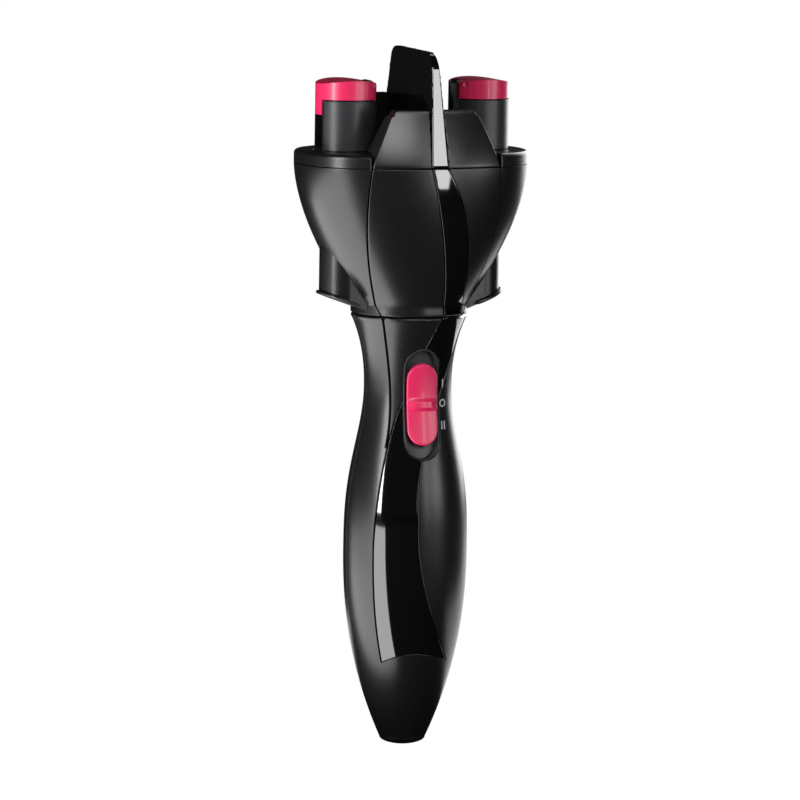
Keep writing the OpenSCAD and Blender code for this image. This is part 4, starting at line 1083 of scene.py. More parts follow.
@dataclass(frozen=True)
class HandlePieces:
    """The handle's shells, inlay, cover and switch."""

    form: HandleForm
    wall: float = 2.2
    outer: float = 1.05
    groove: float = 0.3
    backing_spacing: float = 2.0
    shell_rim: float = 0.2
    side_rim: float = 0.12
    neck_rim: float = 0.6
    inlay_thick: float = 1.0
    inlay_rim: float = 0.16
    inlay_over: float = 1.0
    switch_drop: float = 28.3
    recess_width: float = 12.4
    recess_length: float = 36.2
    recess_depth: float = 2.6
    recess_wall: float = 0.5
    recess_sink: float = 0.15
    recess_fit: float = 0.1
    recess_rim: float = 0.25
    stem_drop: float = 5.7
    stem_width: float = 3.6
    stem_length: float = 17.0
    slider_width: float = 10.2
    slider_length: float = 26.3
    slider_rise: float = 0.8
    slider_thick: float = 2.0
    slider_rim: float = 0.6
    slider_spacing: float = 0.45
    ridge_flat: float = 0.9
    ridge_foot: float = 2.3
    ridge_run: float = 1.4
    ridge_rise: float = 0.75
    ridge_ease: float = 1.4
    waist_reach: float = 2.1
    waist_start: float = 2.6
    waist_run: float = 2.4
    waist_depth: float = 0.945
    mark_across: float = 7.8
    mark_up: float = 6.4
    mark_down: float = 7.1
    mark_apart: float = 0.55
    mark_bar: tuple[float, float] = (0.24, 1.35)
    mark_ring: tuple[float, float] = (1.28, 0.85)
    mark_thick: float = 0.12
    mark_proud: float = 0.04
    mark_rim: float = 0.03
    cover_width: float = 29.0
    cover_length: float = 59.1
    cover_middle: float = 60.55
    cover_radius: float = 5.0
    cover_gap: float = 0.2
    cover_thick: float = 2.0
    cover_rim: float = 0.35
    screw_heights: tuple[float, ...] = (16.0, 95.45)
    screw_hole: float = 4.6
    tip_side: float = 0.9
    tip_lift: float = 0.72
    tip_radii: tuple[float, float, float] = (1.9, 0.88, 0.7)
    sweep_width: float = 0.45
    sweep_line: tuple[tuple[float, float], ...] = (
        (-13.9, 142.8), (-12.3, 136.5), (-11.1, 130.8), (-10.2, 124.0), (-9.8, 117.6), (-9.85, 111.0),
        (-10.5, 104.5), (-11.65, 99.6),
    )

    @property
    def switch_middle(self) -> float:
        """Height of the switch's middle."""
        return self.form.length - self.switch_drop

    @property
    def half_span(self) -> float:
        """Half the width of the unrolled shell."""
        return self.form.unrolled * QUARTER_TURN

    def blank(self) -> Points:
        """Outline of an unrolled half shell."""
        low, high, side = self.form.lowest, self.form.length, self.half_span
        return loop_of([(-side, low), (side, low), (side, high), (-side, high)], 0.8)

    def rim(self, flat: Points) -> np.ndarray:
        """Rounding of a shell's rim: wide at the neck, none at the closed tip."""
        near = 0.01
        radius = np.full(len(flat), self.shell_rim)
        radius[np.abs(flat[:, 0]) > self.half_span - near] = self.side_rim
        radius[flat[:, 1] > self.form.length - near] = self.neck_rim
        radius[flat[:, 1] < self.form.lowest + near] = SQUARE
        return radius

    def slot(self, width: float, length: float) -> Points:
        """A switch outline on the unrolled front."""
        return self.form.unroll(loop_of(stadium(self.switch_middle, width, length, 33), 0.5), FRONT)

    def shell(self, middle: float, holes: Sequence[Points], backing_holes: Sequence[Points]) -> Mesh:
        """A half shell: a skin with its cut-outs over a backing that closes most of them."""
        blank = self.blank()
        skin = Plate(self.form.skin(middle), (blank, *holes), self.outer, radius=self.rim)
        under = Plate(self.form.skin(middle, self.outer), (blank, *backing_holes), self.wall - self.outer,
                      spacing=self.backing_spacing, radius=SQUARE, steps=1)
        return skin.build().joined(under.build(), self.tip(middle))

    def tip(self, middle: float) -> Mesh:
        """Fills the round end of the shells at the tip."""
        side = -self.tip_side if middle == FRONT else self.tip_side
        return lens((0.0, side, self.form.foot + self.tip_lift), self.tip_radii)

    def front_shell(self, borders: InlayBorders) -> Mesh:
        """The front shell, open for the inlay and the switch."""
        inlay = self.form.unroll(borders.outline(self.groove / 2, self.inlay_over), FRONT)
        sweep = self.form.unroll(ribbon(self.sweep_line, self.sweep_width), FRONT)
        slot = self.slot(self.recess_width, self.recess_length)
        return self.shell(FRONT, (inlay, slot, sweep), (slot,))

    def cover_outline(self, grow: float) -> Points:
        """The battery cover's outline on the unrolled back."""
        box = round_box(self.cover_middle, self.cover_width + 2 * grow, self.cover_length + 2 * grow,
                        self.cover_radius + grow)
        return self.form.unroll(loop_of(box, 0.8), REAR)

    def rear_shell(self) -> Mesh:
        """The rear shell, open for the cover and the screws."""
        window = self.cover_outline(self.cover_gap)
        screws = [self.form.unroll(circle((0.0, h), self.screw_hole / 2), REAR) for h in self.screw_heights]
        return self.shell(REAR, (window, *screws), (window, *screws))

    def inlay(self, borders: InlayBorders) -> Mesh:
        """The glossy inlay, open for the switch."""
        outline = self.form.unroll(borders.outline(-self.groove / 2), FRONT)
        slot = self.slot(self.recess_width, self.recess_length)
        return Plate(self.form.skin(FRONT), (outline, slot), self.inlay_thick,
                     radius=self.inlay_rim).build()

    def cover(self) -> Mesh:
        """The battery cover."""
        outline = self.cover_outline(0.0)
        return Plate(self.form.skin(REAR), (outline,), self.cover_thick, radius=self.cover_rim).build()

    def recess(self) -> Mesh:
        """The switch's recess: a wall and a floor with the stem's slot."""
        outer = self.slot(self.recess_width - self.recess_fit, self.recess_length - self.recess_fit)
        inner = self.slot(self.recess_width - 2 * self.recess_wall,
                          self.recess_length - 2 * self.recess_wall)
        deep = self.recess_depth + self.recess_wall - self.recess_sink
        wall = Plate(self.form.skin(FRONT, self.recess_sink), (outer, inner), deep, spacing=0.8,
                     radius=self.recess_rim)
        stem = stadium(self.switch_middle - self.stem_drop, self.stem_width, self.stem_length)
        floor = Plate(self.form.skin(FRONT, self.recess_depth),
                      (inner, self.form.unroll(loop_of(stem, 0.8), FRONT)),
                      self.recess_wall, radius=SQUARE, steps=1)
        return wall.build().joined(floor.build())

    def slider(self) -> Mesh:
        """The sliding button, dished on both sides of a ridge."""
        outline = self.slot(self.slider_width, self.slider_length)
        middle = self.switch_middle
        skin = self.form.skin(FRONT, -self.slider_rise)

        def place(flat: Points) -> Points:
            """The button's face, with a ridge across its middle and a waist at both ends of it."""
            across = np.abs(flat[:, 1] - middle)
            x = flat[:, 0] / self.form.unrolled * self.form.half_width(flat[:, 1])
            flank = np.clip((self.ridge_foot - across) / self.ridge_run, 0, 1) ** self.ridge_ease
            lift = self.ridge_rise * np.where(across < self.ridge_flat, 1.0, flank)
            waist = np.clip(1 - across / self.waist_reach, 0, 1)
            waist = waist * np.clip((np.abs(x) - self.waist_start) / self.waist_run, 0, 1)
            outward = np.zeros((len(flat), 3))
            outward[:, 1] = self.waist_depth * waist - lift
            return skin(flat) + MM * outward

        return Plate(place, (outline,), self.slider_thick, spacing=self.slider_spacing,
                     radius=self.slider_rim).build()

    def marks(self) -> Mesh:
        """The plain marks of the three switch positions."""
        across, middle = self.mark_across, self.switch_middle
        (half, tall), low = self.mark_bar, middle - self.mark_down
        bars = [(across, middle + self.mark_up), (across - self.mark_apart, low),
                (across + self.mark_apart, low)]
        corners = ((-half, -tall), (half, -tall), (half, tall), (-half, tall))
        shapes = [(loop_of([(x + right, h + up) for right, up in corners], 0.3),) for x, h in bars]
        shapes.append(tuple(circle((across, middle), radius) for radius in self.mark_ring))
        skin = self.form.skin(FRONT, -self.mark_proud)
        made = [Plate(skin, tuple(self.form.unroll(loop, FRONT) for loop in shape), self.mark_thick,
                      spacing=0.4, radius=self.mark_rim, steps=1).build() for shape in shapes]
        return made[0].joined(*made[1:])


# ---- The head ----
@dataclass(frozen=True)
class HeadPieces:
    """The head's skins, deck, noses and fin."""

    form: HeadForm
    rotor_x: float
    deck_thick: float
    skin_thick: float = 2.0
    groove: float = 0.3
    skin_gap: float = 0.2
    skin_rim: float = 0.22
    pod_radius: float = 7.9
    pod_foot: float = 3.4
    pod_slant: float = math.radians(20)
    tower_hole: float = 10.25
    pod_rim: float = 0.25
    seat: float = 19.5
    seat_reach: float = 40.0
    rim_radius: float = 1.3
    rim_share: float = 0.985
    hole_rim: float = 0.2
    nose_heights: tuple[float, float] = (18.4, 21.4)
    nose_top: float = 28.4
    nose_inner: float = 13.0
    nose_lean: float = 5.0
    nose_bow: float = 1.15
    nose_sweep: float = 1.3
    nose_corner: float = 1.6
    nose_gap: float = 0.15
    nose_swell: float = 4.0
    nose_hollow: float = 1.5
    nose_rim: float = 0.45
    fin_height: float = 37.0
    fin_drop: float = 0.2
    fin_foot: float = 5.6
    fin_top: float = 2.2
    fin_front: float = 21.5
    fin_front_radius: float = 7.0
    fin_rear: float = 17.6
    fin_rear_radius: float = 4.0
    fin_heel: float = 22.0
    fin_lift: float = 0.3
    fin_rim: float = 0.4

    def skin(self, name: str, middle: float, finish: bpy.types.Material, left: Callable, right: Callable,
             columns: int) -> bpy.types.Object:
        """A skin between two borders, worked out by a node tree from the bowl's rule.

        Args:
            name: the piece's name.
            middle: angle that the borders are counted from.
            finish: its material.
            left: border rule that gives the distance from the middle at a height.
            right: the other border's rule.
            columns: points across.

        Returns:
            The open sheet with the tree as its modifier.
        """
        made = Generated(name, Columns=columns, Rows=64, Groove=self.groove / 2, Base=self.form.base,
                         Top=self.form.deck - self.skin_gap)
        tree = made.tree
        grid = tree.node("GeometryNodeMeshGrid", None, Size_X=1.0, Size_Y=1.0,
                         Vertices_X=made.size("Columns"), Vertices_Y=made.size("Rows"))
        parts = tree.node("ShaderNodeSeparateXYZ", None, tree.out(tree.node("GeometryNodeInputPosition")))
        h = mix(made.size("Base"), made.size("Top"), tree.out(parts, 1) + 0.5)
        groove = made.size("Groove")
        start = self.form.turn(left(h) + groove, h)
        end = self.form.turn(right(h) - groove, h)
        x, y, z = self.form.point(h, mix(start, end, tree.out(parts, 0) + 0.5) + middle)
        place = tree.vector(x * MM, y * MM, (z + self.form.foot) * MM)
        moved = tree.node("GeometryNodeSetPosition", None, Geometry=tree.out(grid), Position=place)
        made.close(tree.out(moved))
        return made.start(finish)

    def wing(self, side: int) -> Mesh:
        """A wing of the bowl, open for the tube's housing; side is -1 left, 1 right."""
        form = self.form
        middle = 0.0 if side > 0 else HALF_TURN
        heights = np.linspace(form.base, form.deck - self.skin_gap, 60)
        border = QUARTER_TURN - form.turn(form.panel_half(heights) + self.groove / 2, heights)
        edge = np.stack([form.unrolled * border, heights], axis=1)
        other = edge * (-1, 1)
        outline = loop_of(np.vstack([other, edge[::-1]]), 0.9)
        hole = self.pod_hole()
        return Plate(form.skin(middle), (outline, hole), self.skin_thick, radius=self.pod_rim).build()

    def pod_hole(self) -> Points:
        """Where the tube's housing comes through a wing, on the unrolled skin."""
        form, radius = self.form, self.pod_radius
        overhang = self.rotor_x - form.half_width(form.base)
        low = form.base + self.pod_foot - overhang * math.tan(self.pod_slant)

        def unrolled(y: float, h: float) -> tuple[float, float]:
            """Unrolled place at which the skin passes y."""
            share = min(1.0, abs(y) / float(form.half_depth(h)))
            angle = math.copysign(math.asin(share ** (float(form.power_at(h)) / 2)), y)
            return form.unrolled * angle, h

        def height(y: float) -> float:
            """Height at which the skin leaves the housing's round."""
            target = self.rotor_x + math.sqrt(max(0.0, radius ** 2 - y ** 2))
            under, over = low, form.deck
            for _ in range(40):
                h = (under + over) / 2
                angle = unrolled(y, h)[0] / form.unrolled
                if float(form.point(h, angle)[0]) < target:
                    under = h
                else:
                    over = h
            return under

        sides = np.linspace(-radius, radius, 41)
        arch = [unrolled(y, height(y)) for y in sides[::-1]]
        foot = [unrolled(y, low) for y in (-radius, radius)]
        return loop_of(foot + arch, 0.8)

    def deck(self) -> Mesh:
        """The deck: a plate with a rounded rim, open for the towers and cut for the noses."""
        form = self.form
        turns = np.linspace(0.0, 2 * HALF_TURN, 240, endpoint=False)
        x, y, _ = form.point(form.deck, turns)
        rim = np.stack([x, y], axis=1)
        holes = [circle((side * self.rotor_x, 0.0), self.tower_hole, 72) for side in (-1, 1)]
        half = float(form.panel_half(form.deck)) + self.groove
        near, far = self.seat, self.seat_reach
        seats = [loop_of([(-half, side * near), (half, side * near), (half, side * far),
                          (-half, side * far)][::side], 1.2) for side in (-1, 1)]
        top = form.deck + self.deck_thick + form.foot

        def radius(p: Points) -> np.ndarray:
            """A wide rounding on the outer rim only."""
            share = (np.abs(p[:, 0]) / form.half_deck) ** form.squareness
            share = share + (np.abs(p[:, 1]) / form.half_depth_deck) ** form.squareness
            return np.where(share > self.rim_share, self.rim_radius, self.hole_rim)

        def place(p: Points) -> Points:
            """A flat point on the deck's top."""
            return MM * np.column_stack([p, np.full(len(p), top)])

        return Plate(place, (rim, *holes, *seats), self.deck_thick, spacing=1.4, radius=radius,
                     steps=6).build()

    def fin_half(self, h: object) -> object:
        """Half the fin's thickness at a height."""
        return mix(self.fin_foot / 2, self.fin_top / 2, within((h - self.form.deck) / self.fin_height))

    def nose(self, side: int) -> Mesh:
        """A nose in two halves with the fin between them; side is -1 front, 1 rear."""
        form = self.form
        tall = self.nose_heights[0 if side < 0 else 1]
        foot_half = float(form.panel_half(form.deck))
        rows = np.linspace(0.0, 1.0, 40)
        heights = form.deck + tall * rows
        outer = mix(foot_half, self.nose_top / 2, rows ** self.nose_bow)
        inner = self.fin_half(heights) + self.nose_gap
        corner = self.nose_corner
        keep_rows = heights < form.deck + tall - corner
        bend = arc((outer[-1] - corner, heights[-1] - corner), corner, 0.0, QUARTER_TURN, 7)
        ledge = form.deck + self.deck_thick

        def back(p: Points) -> np.ndarray:
            """Depth from the face to the hollowed back or, below the deck's top, to the seat."""
            t = (p[:, 1] - form.deck) / tall
            width = mix(foot_half, self.nose_top / 2, np.clip(t, 0, 1) ** self.nose_bow)
            hollow = mix(self.nose_inner, self.nose_inner + self.nose_swell, t)
            hollow = hollow + self.nose_hollow * t * (1 - np.clip(p[:, 0] / width, -1, 1) ** 2)
            return self.face_y(p, tall) - np.where(p[:, 1] > ledge + 0.1, hollow, self.seat + self.groove)

        def place(p: Points) -> Points:
            """A point of the face."""
            height = side * (p[:, 1] + form.foot)
            return MM * side * np.stack([-p[:, 0], self.face_y(p, tall), height], axis=1)

        halves = []
        for flip in (-1, 1):
            right = np.vstack([np.stack([outer, heights], axis=1)[keep_rows], bend])
            left = np.stack([inner, heights], axis=1)[::-1]
            outline = loop_of(np.vstack([right, left]) * (flip, 1), 0.9)
            halves.append(Plate(place, (outline,), back, radius=self.nose_rim, steps=5,
                                depth=(0.0, -float(side), 0.0)).build())
        return halves[0].joined(halves[1])

    def face_y(self, p: Points, tall: float) -> np.ndarray:
        """Distance of the face of a nose, of that height, from the middle plane."""
        form = self.form
        t = np.clip((p[:, 1] - form.deck) / tall, 0, 1)
        round_part = 1 - (np.abs(p[:, 0]) / form.half_deck) ** form.squareness
        upright = form.half_depth_deck * round_part ** (1 / form.squareness)
        return upright - self.nose_lean * t ** self.nose_sweep

    def fin(self) -> Mesh:
        """The fin in two halves, each with a rounded rim."""
        deck, top = self.form.deck, self.form.deck + self.fin_height
        front, rear, reach = self.fin_front_radius, self.fin_rear_radius, self.form.half_depth_deck
        seat, low, ledge = self.seat + self.groove, deck + self.fin_lift, deck + self.deck_thick
        head = arc((front - self.fin_front, top - self.fin_drop - front), front, math.radians(100),
                   math.radians(170), 9)
        heel = arc((self.fin_rear - rear, top - rear), rear, math.radians(8), math.radians(92), 9)
        line = [(-reach, low), (-seat, low), (-seat, ledge), (self.fin_heel, ledge), *heel, *head]
        halves = []
        for side in (-1, 1):
            outline = loop_of([(side * y, h) for y, h in line], 1.0)

            def place(p: Points, side: int = side) -> Points:
                """A point of the fin's side."""
                across = side * self.fin_half(p[:, 1])
                return MM * np.stack([across, side * p[:, 0], p[:, 1] + self.form.foot], axis=1)

            halves.append(Plate(place, (outline,), lambda p: self.fin_half(p[:, 1]), spacing=1.6,
                                radius=self.fin_rim, steps=5, depth=(-float(side), 0.0, 0.0)).build())
        return halves[0].joined(halves[1])


# ---- Repeats ----
def coil(name: str, finish: bpy.types.Material, radius: float, wire: float, height: float, turns: float,
         places: Sequence[tuple[float, float, float]], turned: float = 0.0) -> bpy.types.Object:
    """A coil spring at each place, made by a node tree.

    Args:
        name: the piece's name.
        finish: its material.
        radius: radius of the coil to the wire's middle, in millimetres.
        wire: the wire's diameter.
        height: height between the wire's ends.
        turns: number of turns.
        places: where each coil's foot stands, in millimetres.
        turned: turn about X in radians, 0 for an upright coil.

    Returns:
        The object with the tree as its modifier.
    """
    made = Generated(name, Radius=radius * MM, Wire=wire * MM, Height=height * MM, Turns=turns)
    tree = made.tree
    spiral = tree.node("GeometryNodeCurveSpiral", None, Resolution=28, Rotations=made.size("Turns"),
                       Start_Radius=made.size("Radius"), End_Radius=made.size("Radius"),
                       Height=made.size("Height"))
    profile = tree.node("GeometryNodeCurvePrimitiveCircle", None, Resolution=10,
                        Radius=made.size("Wire") * 0.5)
    body = tree.node("GeometryNodeCurveToMesh", None, Curve=tree.out(spiral),
                     Profile_Curve=tree.out(profile), Fill_Caps=True)
    join = tree.node("GeometryNodeJoinGeometry")
    for spot in places:
        moved = tree.node("GeometryNodeTransform", None, Geometry=tree.out(body),
                          Translation=tuple(MM * c for c in spot), Rotation=(turned, 0.0, 0.0))
        tree.tree.links.new(moved.outputs[0], join.inputs[0])
    made.close(tree.out(join))
    return made.start(finish)


def rib_row(name: str, finish: bpy.types.Material, form: HandleForm, first: float, pitch: float, count: int,
            length: float, width: float) -> bpy.types.Object:
    """Grip ribs in an even row that follows the handle's back.

    Args:
        name: the piece's name.
        finish: its material.
        form: the handle's form, whose rule places each rib.
        first: height of the lowest rib.
        pitch: distance between ribs.
        count: number of ribs.
        length: length of a rib.
        width: width of a rib.

    Returns:
        The object with the tree as its modifier.
    """
    made = Generated(name, Count=count, Pitch=pitch, First=first, Length=length * MM, Width=width * MM)
    tree = made.tree
    line = tree.node("GeometryNodeMeshLine", {"mode": "OFFSET"}, Count=made.size("Count"),
                     Offset=(0.0, 0.0, 1.0))
    parts = tree.node("ShaderNodeSeparateXYZ", None, tree.out(tree.node("GeometryNodeInputPosition")))
    h = made.size("First") + tree.out(parts, 2) * made.size("Pitch")
    depth = (form.half_width(h) * form.flatness - 0.15) * MM
    spots = tree.node("GeometryNodeSetPosition", None, Geometry=tree.out(line),
                      Position=tree.vector(0.0, depth, (h + form.foot) * MM))
    bar = tree.node("GeometryNodeMeshUVSphere", None, Segments=16, Rings=12,
                    Radius=made.size("Width") * 0.5)
    where = tree.node("ShaderNodeSeparateXYZ", None, tree.out(tree.node("GeometryNodeInputPosition")))
    side = tree.math("SIGN", tree.out(where, 0))
    reach = (made.size("Length") - made.size("Width")) * 0.5
    drawn = tree.node("GeometryNodeSetPosition", None, Geometry=tree.out(bar),
                      Offset=tree.vector(side * reach, 0.0, 0.0))
    ribs = tree.node("GeometryNodeInstanceOnPoints", None, Points=tree.out(spots), Instance=tree.out(drawn))
    made.close(tree.out(ribs))
    return made.start(finish)


# ---- Stage, light and camera ----
WHITE = (1.0, 1.0, 1.0, 1.0)
TABLE_LIFT = 0.003  # height in metres of a level light above the floor
FLOOR_GREY = 0.02  # the stage's grey for all rays that don't see it white
DIM_SKY = 0.015  # how bright the surroundings are for all but the camera


def direction(azimuth: float, elevation: float) -> Vector:
    """The direction to a place round the object, from degrees; azimuth 0 is in front, 90 at the right."""
    turn, lift = math.radians(azimuth), math.radians(elevation)
    return Vector((math.sin(turn) * math.cos(lift), -math.cos(turn) * math.cos(lift), math.sin(lift)))


@dataclass(frozen=True)
class Softbox:
    """An area light that faces the object, in metres and watts."""

    name: str
    azimuth: float
    elevation: float
    distance: float
    width: float
    height: float
    power: float
    aim: float = 0.05
    table_turn: float | None = None

    def add(self, foot: float) -> None:
        """Puts the light in place; one with a turn of its own lies level, as a low table beside the object.

        Args:
            foot: the floor's height in metres.
        """
        away = direction(self.azimuth, self.elevation)
        data = bpy.data.lights.new(self.name, "AREA")
        data.shape = "RECTANGLE"
        data.size, data.size_y, data.energy = self.width, self.height, self.power
        obj = bpy.data.objects.new(self.name, data)
        if self.table_turn is None:
            obj.location = away * self.distance + Vector((0, 0, self.aim))
            obj.rotation_euler = away.to_track_quat("Z", "Y").to_euler()
        else:
            obj.location = away * self.distance + Vector((0, 0, foot + TABLE_LIFT))
            obj.rotation_euler = (HALF_TURN, 0.0, math.radians(self.table_turn))
        obj.visible_camera = False
        bpy.context.scene.collection.objects.link(obj)


LIGHTS = (
    Softbox("key_strip", azimuth=-66.0, elevation=14.0, distance=1.0, width=0.16, height=0.62, power=7.0),
    Softbox("table_left", azimuth=-81.0, elevation=0.0, distance=0.502, width=0.5, height=0.8, power=5.6,
            table_turn=-54.0),
    Softbox("table_right", azimuth=136.0, elevation=0.0, distance=0.3, width=0.3, height=0.5, power=0.7,
            table_turn=136.0),
    Softbox("front_strip", azimuth=21.0, elevation=0.0, distance=0.5, width=0.05, height=0.36, power=0.44,
            aim=0.18),
    Softbox("card_right", azimuth=42.0, elevation=5.0, distance=1.0, width=0.36, height=0.3, power=1.6),
    Softbox("high_fill", azimuth=-5.0, elevation=30.0, distance=1.2, width=0.6, height=0.3, power=5.5,
            aim=0.1),
    Softbox("rim_right", azimuth=130.0, elevation=6.0, distance=1.0, width=0.7, height=1.1, power=8.0),
)


def shine_for(name: str, colour: float, glossy: bool) -> bpy.types.Material:
    """A pale surface that is white to the camera and, where asked, to reflections.

    Args:
        name: the material's name.
        colour: its grey for all other rays.
        glossy: whether reflections see it white.

    Returns:
        The material.
    """
    made = bpy.data.materials.new(name)
    made.use_nodes = True
    made.node_tree.nodes.clear()
    tree = Tree(made.node_tree)
    path = tree.node("ShaderNodeLightPath")
    seen = tree.out(path, "Is Camera Ray")
    if glossy:
        seen = tree.math("MAXIMUM", seen, tree.out(path, "Is Glossy Ray"))
        seen = tree.math("MAXIMUM", seen, tree.out(path, "Is Transmission Ray"))
    plain = tree.node("ShaderNodeBsdfDiffuse", None, Color=(colour, colour, colour, 1.0))
    white = tree.node("ShaderNodeEmission", None, Color=WHITE, Strength=1.0)
    shader = tree.node("ShaderNodeMixShader", None, seen, tree.out(plain), tree.out(white))
    tree.node("ShaderNodeOutputMaterial", None, tree.out(shader))
    return made


def surroundings(strength: float) -> bpy.types.World:
    """Surroundings that are white to the camera and dim to the object.

    Args:
        strength: how bright they are for all but the camera's rays.

    Returns:
        The world.
    """
    world = bpy.data.worlds.new("surroundings")
    world.use_nodes = True
    world.node_tree.nodes.clear()
    tree = Tree(world.node_tree)
    seen = tree.out(tree.node("ShaderNodeLightPath"), "Is Camera Ray")
    shown = tree.node("ShaderNodeBackground", None, Color=WHITE, Strength=mix(strength, 1.0, seen))
    tree.node("ShaderNodeOutputWorld", None, tree.out(shown))
    return world


def add_sheet(name: str, corners: Sequence[tuple[float, float, float]],
              material: bpy.types.Material) -> None:
    """A flat four-cornered surface of the stage."""
    data = bpy.data.meshes.new(name)
    data.from_pydata(corners, [], [(0, 1, 2, 3)])
    data.materials.append(material)
    obj = bpy.data.objects.new(name, data)
    bpy.context.scene.collection.objects.link(obj)


def set_stage(foot: float) -> None:
    """Puts up the floor, the backdrop, the dim surroundings and the lights.

    Args:
        foot: the floor's height in metres.
    """
    low, near, back, wide = foot - 0.0005, -3.0, 1.5, 4.0
    wall_start, wall_top = 0.9, 4.0
    floor = shine_for("floor_white", FLOOR_GREY, False)
    wall = shine_for("backdrop_white", FLOOR_GREY, True)
    add_sheet("floor", [(x, y, low) for x, y in ((-wide, near), (wide, near), (wide, back), (-wide, back))],
              floor)
    add_sheet("backdrop", [(wall_start, back, low), (wide, back, low), (wide, back, wall_top),
                           (wall_start, back, wall_top)], wall)
    bpy.context.scene.world = surroundings(DIM_SKY)
    for box in LIGHTS:
        box.add(foot)


@dataclass(frozen=True)
class Shot:
    """The photograph's camera, in millimetres and degrees."""

    azimuth: float = -20.5
    elevation: float = 7.0
    roll: float = 0.935
    distance: float = 1987.6
    scale: float = 3.064
    image: float = 800.0
    centre: tuple[float, float] = (407.469, 395.316)
    target: float = 50.0
    sensor: float = 36.0
    clip_end: float = 20.0

    def add(self) -> None:
        """Adds the camera that sees the object as the photograph does."""
        turn, roll = math.radians(self.azimuth), math.radians(self.roll)
        back = direction(self.azimuth, self.elevation)
        level = Vector((math.cos(turn), math.sin(turn), 0.0))
        upright = back.cross(level)
        right = level * math.cos(roll) + upright * math.sin(roll)
        up = upright * math.cos(roll) - level * math.sin(roll)
        shift = [(c - self.image / 2) / self.scale for c in self.centre]
        spot = Vector((0, 0, self.target)) + back * self.distance - right * shift[0] + up * shift[1]
        data = bpy.data.cameras.new("camera")
        data.sensor_width = self.sensor
        data.lens = self.sensor * self.distance * self.scale / self.image
        data.clip_end = self.clip_end
        obj = bpy.data.objects.new("camera", data)
        axes = Matrix((right, up, back)).transposed().to_4x4()
        obj.matrix_world = Matrix.Translation(spot * MM) @ axes
        bpy.context.scene.collection.objects.link(obj)
        bpy.context.scene.camera = obj


# ---- Assembly ----
def dress_handle(shop: Workshop, foot: float) -> None:
    """Makes the handle's visible pieces."""
    form = HandleForm(foot)
    pieces = HandlePieces(form)
    borders = InlayBorders(form.length)
    shop.add("handle_front", pieces.front_shell(borders), Slot.SATIN, "handle_front_shell")
    shop.add("handle_rear", pieces.rear_shell(), Slot.SATIN, "handle_rear_shell")
    shop.add("handle_gloss", pieces.inlay(borders), Slot.GLOSS, "handle_inlay")
    shop.add("cover_plate", pieces.cover(), Slot.SATIN, "battery_cover")
    ribs = rib_row("cover_ribs", shop.materials[Slot.SATIN], form, first=72.1, pitch=3.0, count=5,
                   length=9.67, width=1.2)
    shop.deliver(shop.settle(ribs), Slot.SATIN, body="cover")
    shop.add("recess_lining", pieces.recess(), Slot.DARK, "switch_recess")
    shop.add("slide_button", pieces.slider(), Slot.PINK, "switch_slider")
    grey = MARK_FINISH.material("mark_grey")
    shop.add("switch_marks", pieces.marks(), Slot.DARK, body="handle", material=grey)
    low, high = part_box("contact_springs")
    wire, gap, cell_x = 0.7, 0.05, 7.45
    radius = (high.y - low.y) / MM / 2 - wire / 2 - gap
    foot_z = low.z / MM + 0.37
    springs = coil("cell_springs", shop.materials[Slot.SPRING], radius, wire,
                   height=(high.z - low.z) / MM - wire - gap, turns=3.0,
                   places=[(x, 0.0, foot_z) for x in (-cell_x, cell_x)])
    shop.deliver(shop.settle(springs), Slot.SPRING, "contact_springs")


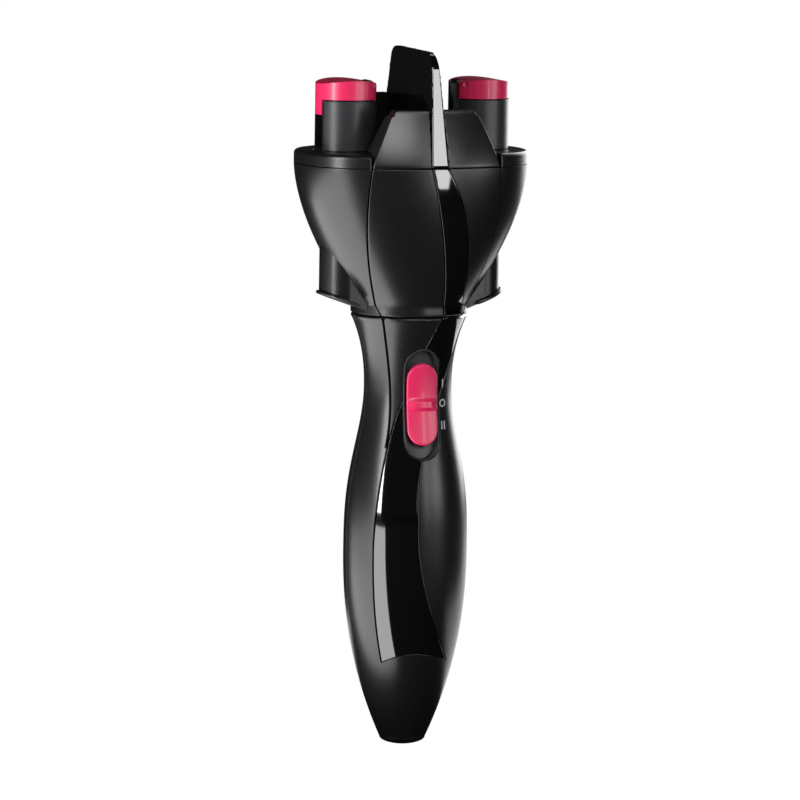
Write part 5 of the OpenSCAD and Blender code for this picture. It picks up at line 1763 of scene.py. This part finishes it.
def dress_head(shop: Workshop, foot: float) -> None:
    """Makes the head's visible pieces."""
    low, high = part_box("deck")
    form = HeadForm(base=HEAD_FOOT, deck=low.z / MM - foot, foot=foot, half_deck=high.x / MM,
                    half_depth_deck=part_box("nose_rear")[1].y / MM)
    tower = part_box("rotor_gear_right")
    pieces = HeadPieces(form, rotor_x=(tower[0].x + tower[1].x) / 2 / MM, deck_thick=(high.z - low.z) / MM)
    half = form.panel_half
    skins = (
        ("panel_left", "front_panel_left", FRONT, Slot.SATIN, lambda h: 0 - half(h), form.inlay_left, 34),
        ("panel_gloss", "head_inlay", FRONT, Slot.GLOSS, form.inlay_left, form.inlay_right, 10),
        ("panel_right", "front_panel_right", FRONT, Slot.SATIN, form.inlay_right, half, 26),
        ("panel_rear", "rear_panel", REAR, Slot.SATIN, lambda h: 0 - half(h), half, 60),
    )
    for name, node, middle, slot, left, right, columns in skins:
        obj = pieces.skin(name, middle, shop.materials[slot], left, right, columns)
        solid = obj.modifiers.new("Thickness", "SOLIDIFY")
        solid.thickness = pieces.skin_thick * MM
        solid.offset = -1.0
        shop.soften(obj, pieces.skin_rim)
        shop.deliver(shop.settle(obj), slot, node)
    for side, word in ((-1, "left"), (1, "right")):
        shop.add(f"wing_shell_{word}", pieces.wing(side), Slot.SATIN, f"wing_{word}")
    shop.add("deck_plate", pieces.deck(), Slot.SATIN, "deck")
    shop.add("nose_halves_front", pieces.nose(-1), Slot.SATIN, "nose_front")
    shop.add("nose_halves_rear", pieces.nose(1), Slot.SATIN, "nose_rear")
    shop.add("fin_blade", pieces.fin(), Slot.GLOSS, "fin")
    shop.polished("housing", 0.25, "rotor_housing")


def dress_rotors(shop: Workshop) -> None:
    """Softens the rotors, their panels and the clips, and winds the clips' springs."""
    wire = 0.5
    for word in ("left", "right"):
        for name, width, nodes in (
            ("tower", 0.2, ("rotor",)),
            ("tower_skin", 0.16, ("tower_panel_front", "tower_panel_rear")),
            ("cap", 0.4, ("clip_cap",)),
            ("pad", 0.25, ("clip_pad",)),
        ):
            shop.polished(f"{name}_{word}", width, *(f"{node}_{word}" for node in nodes))
        low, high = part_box(f"clip_spring_{word}")
        middle = (low + high) / 2 / MM
        radius = (high.x - low.x) / MM / 2 - 0.3
        spring = coil(f"clip_coil_{word}", shop.materials[Slot.SPRING], radius, wire,
                      (high.y - low.y) / MM - wire, turns=3.0,
                      places=[(middle.x, high.y / MM - wire / 2, middle.z)], turned=QUARTER_TURN)
        shop.deliver(shop.settle(spring), Slot.SPRING, f"clip_spring_{word}")


def main() -> None:
    """Dresses the frame and sets the shot."""
    logging.basicConfig(level=logging.INFO, format="%(name)s %(message)s")
    foot = CAD_BOX[0][2] / MM
    shop = Workshop(frame)
    shop.paint_nodes()
    dress_handle(shop, foot)
    dress_head(shop, foot)
    dress_rotors(shop)
    set_stage(foot * MM)
    Shot().add()
    bpy.context.scene.view_settings.view_transform = "Standard"


if __name__ == "__main__":
    main()
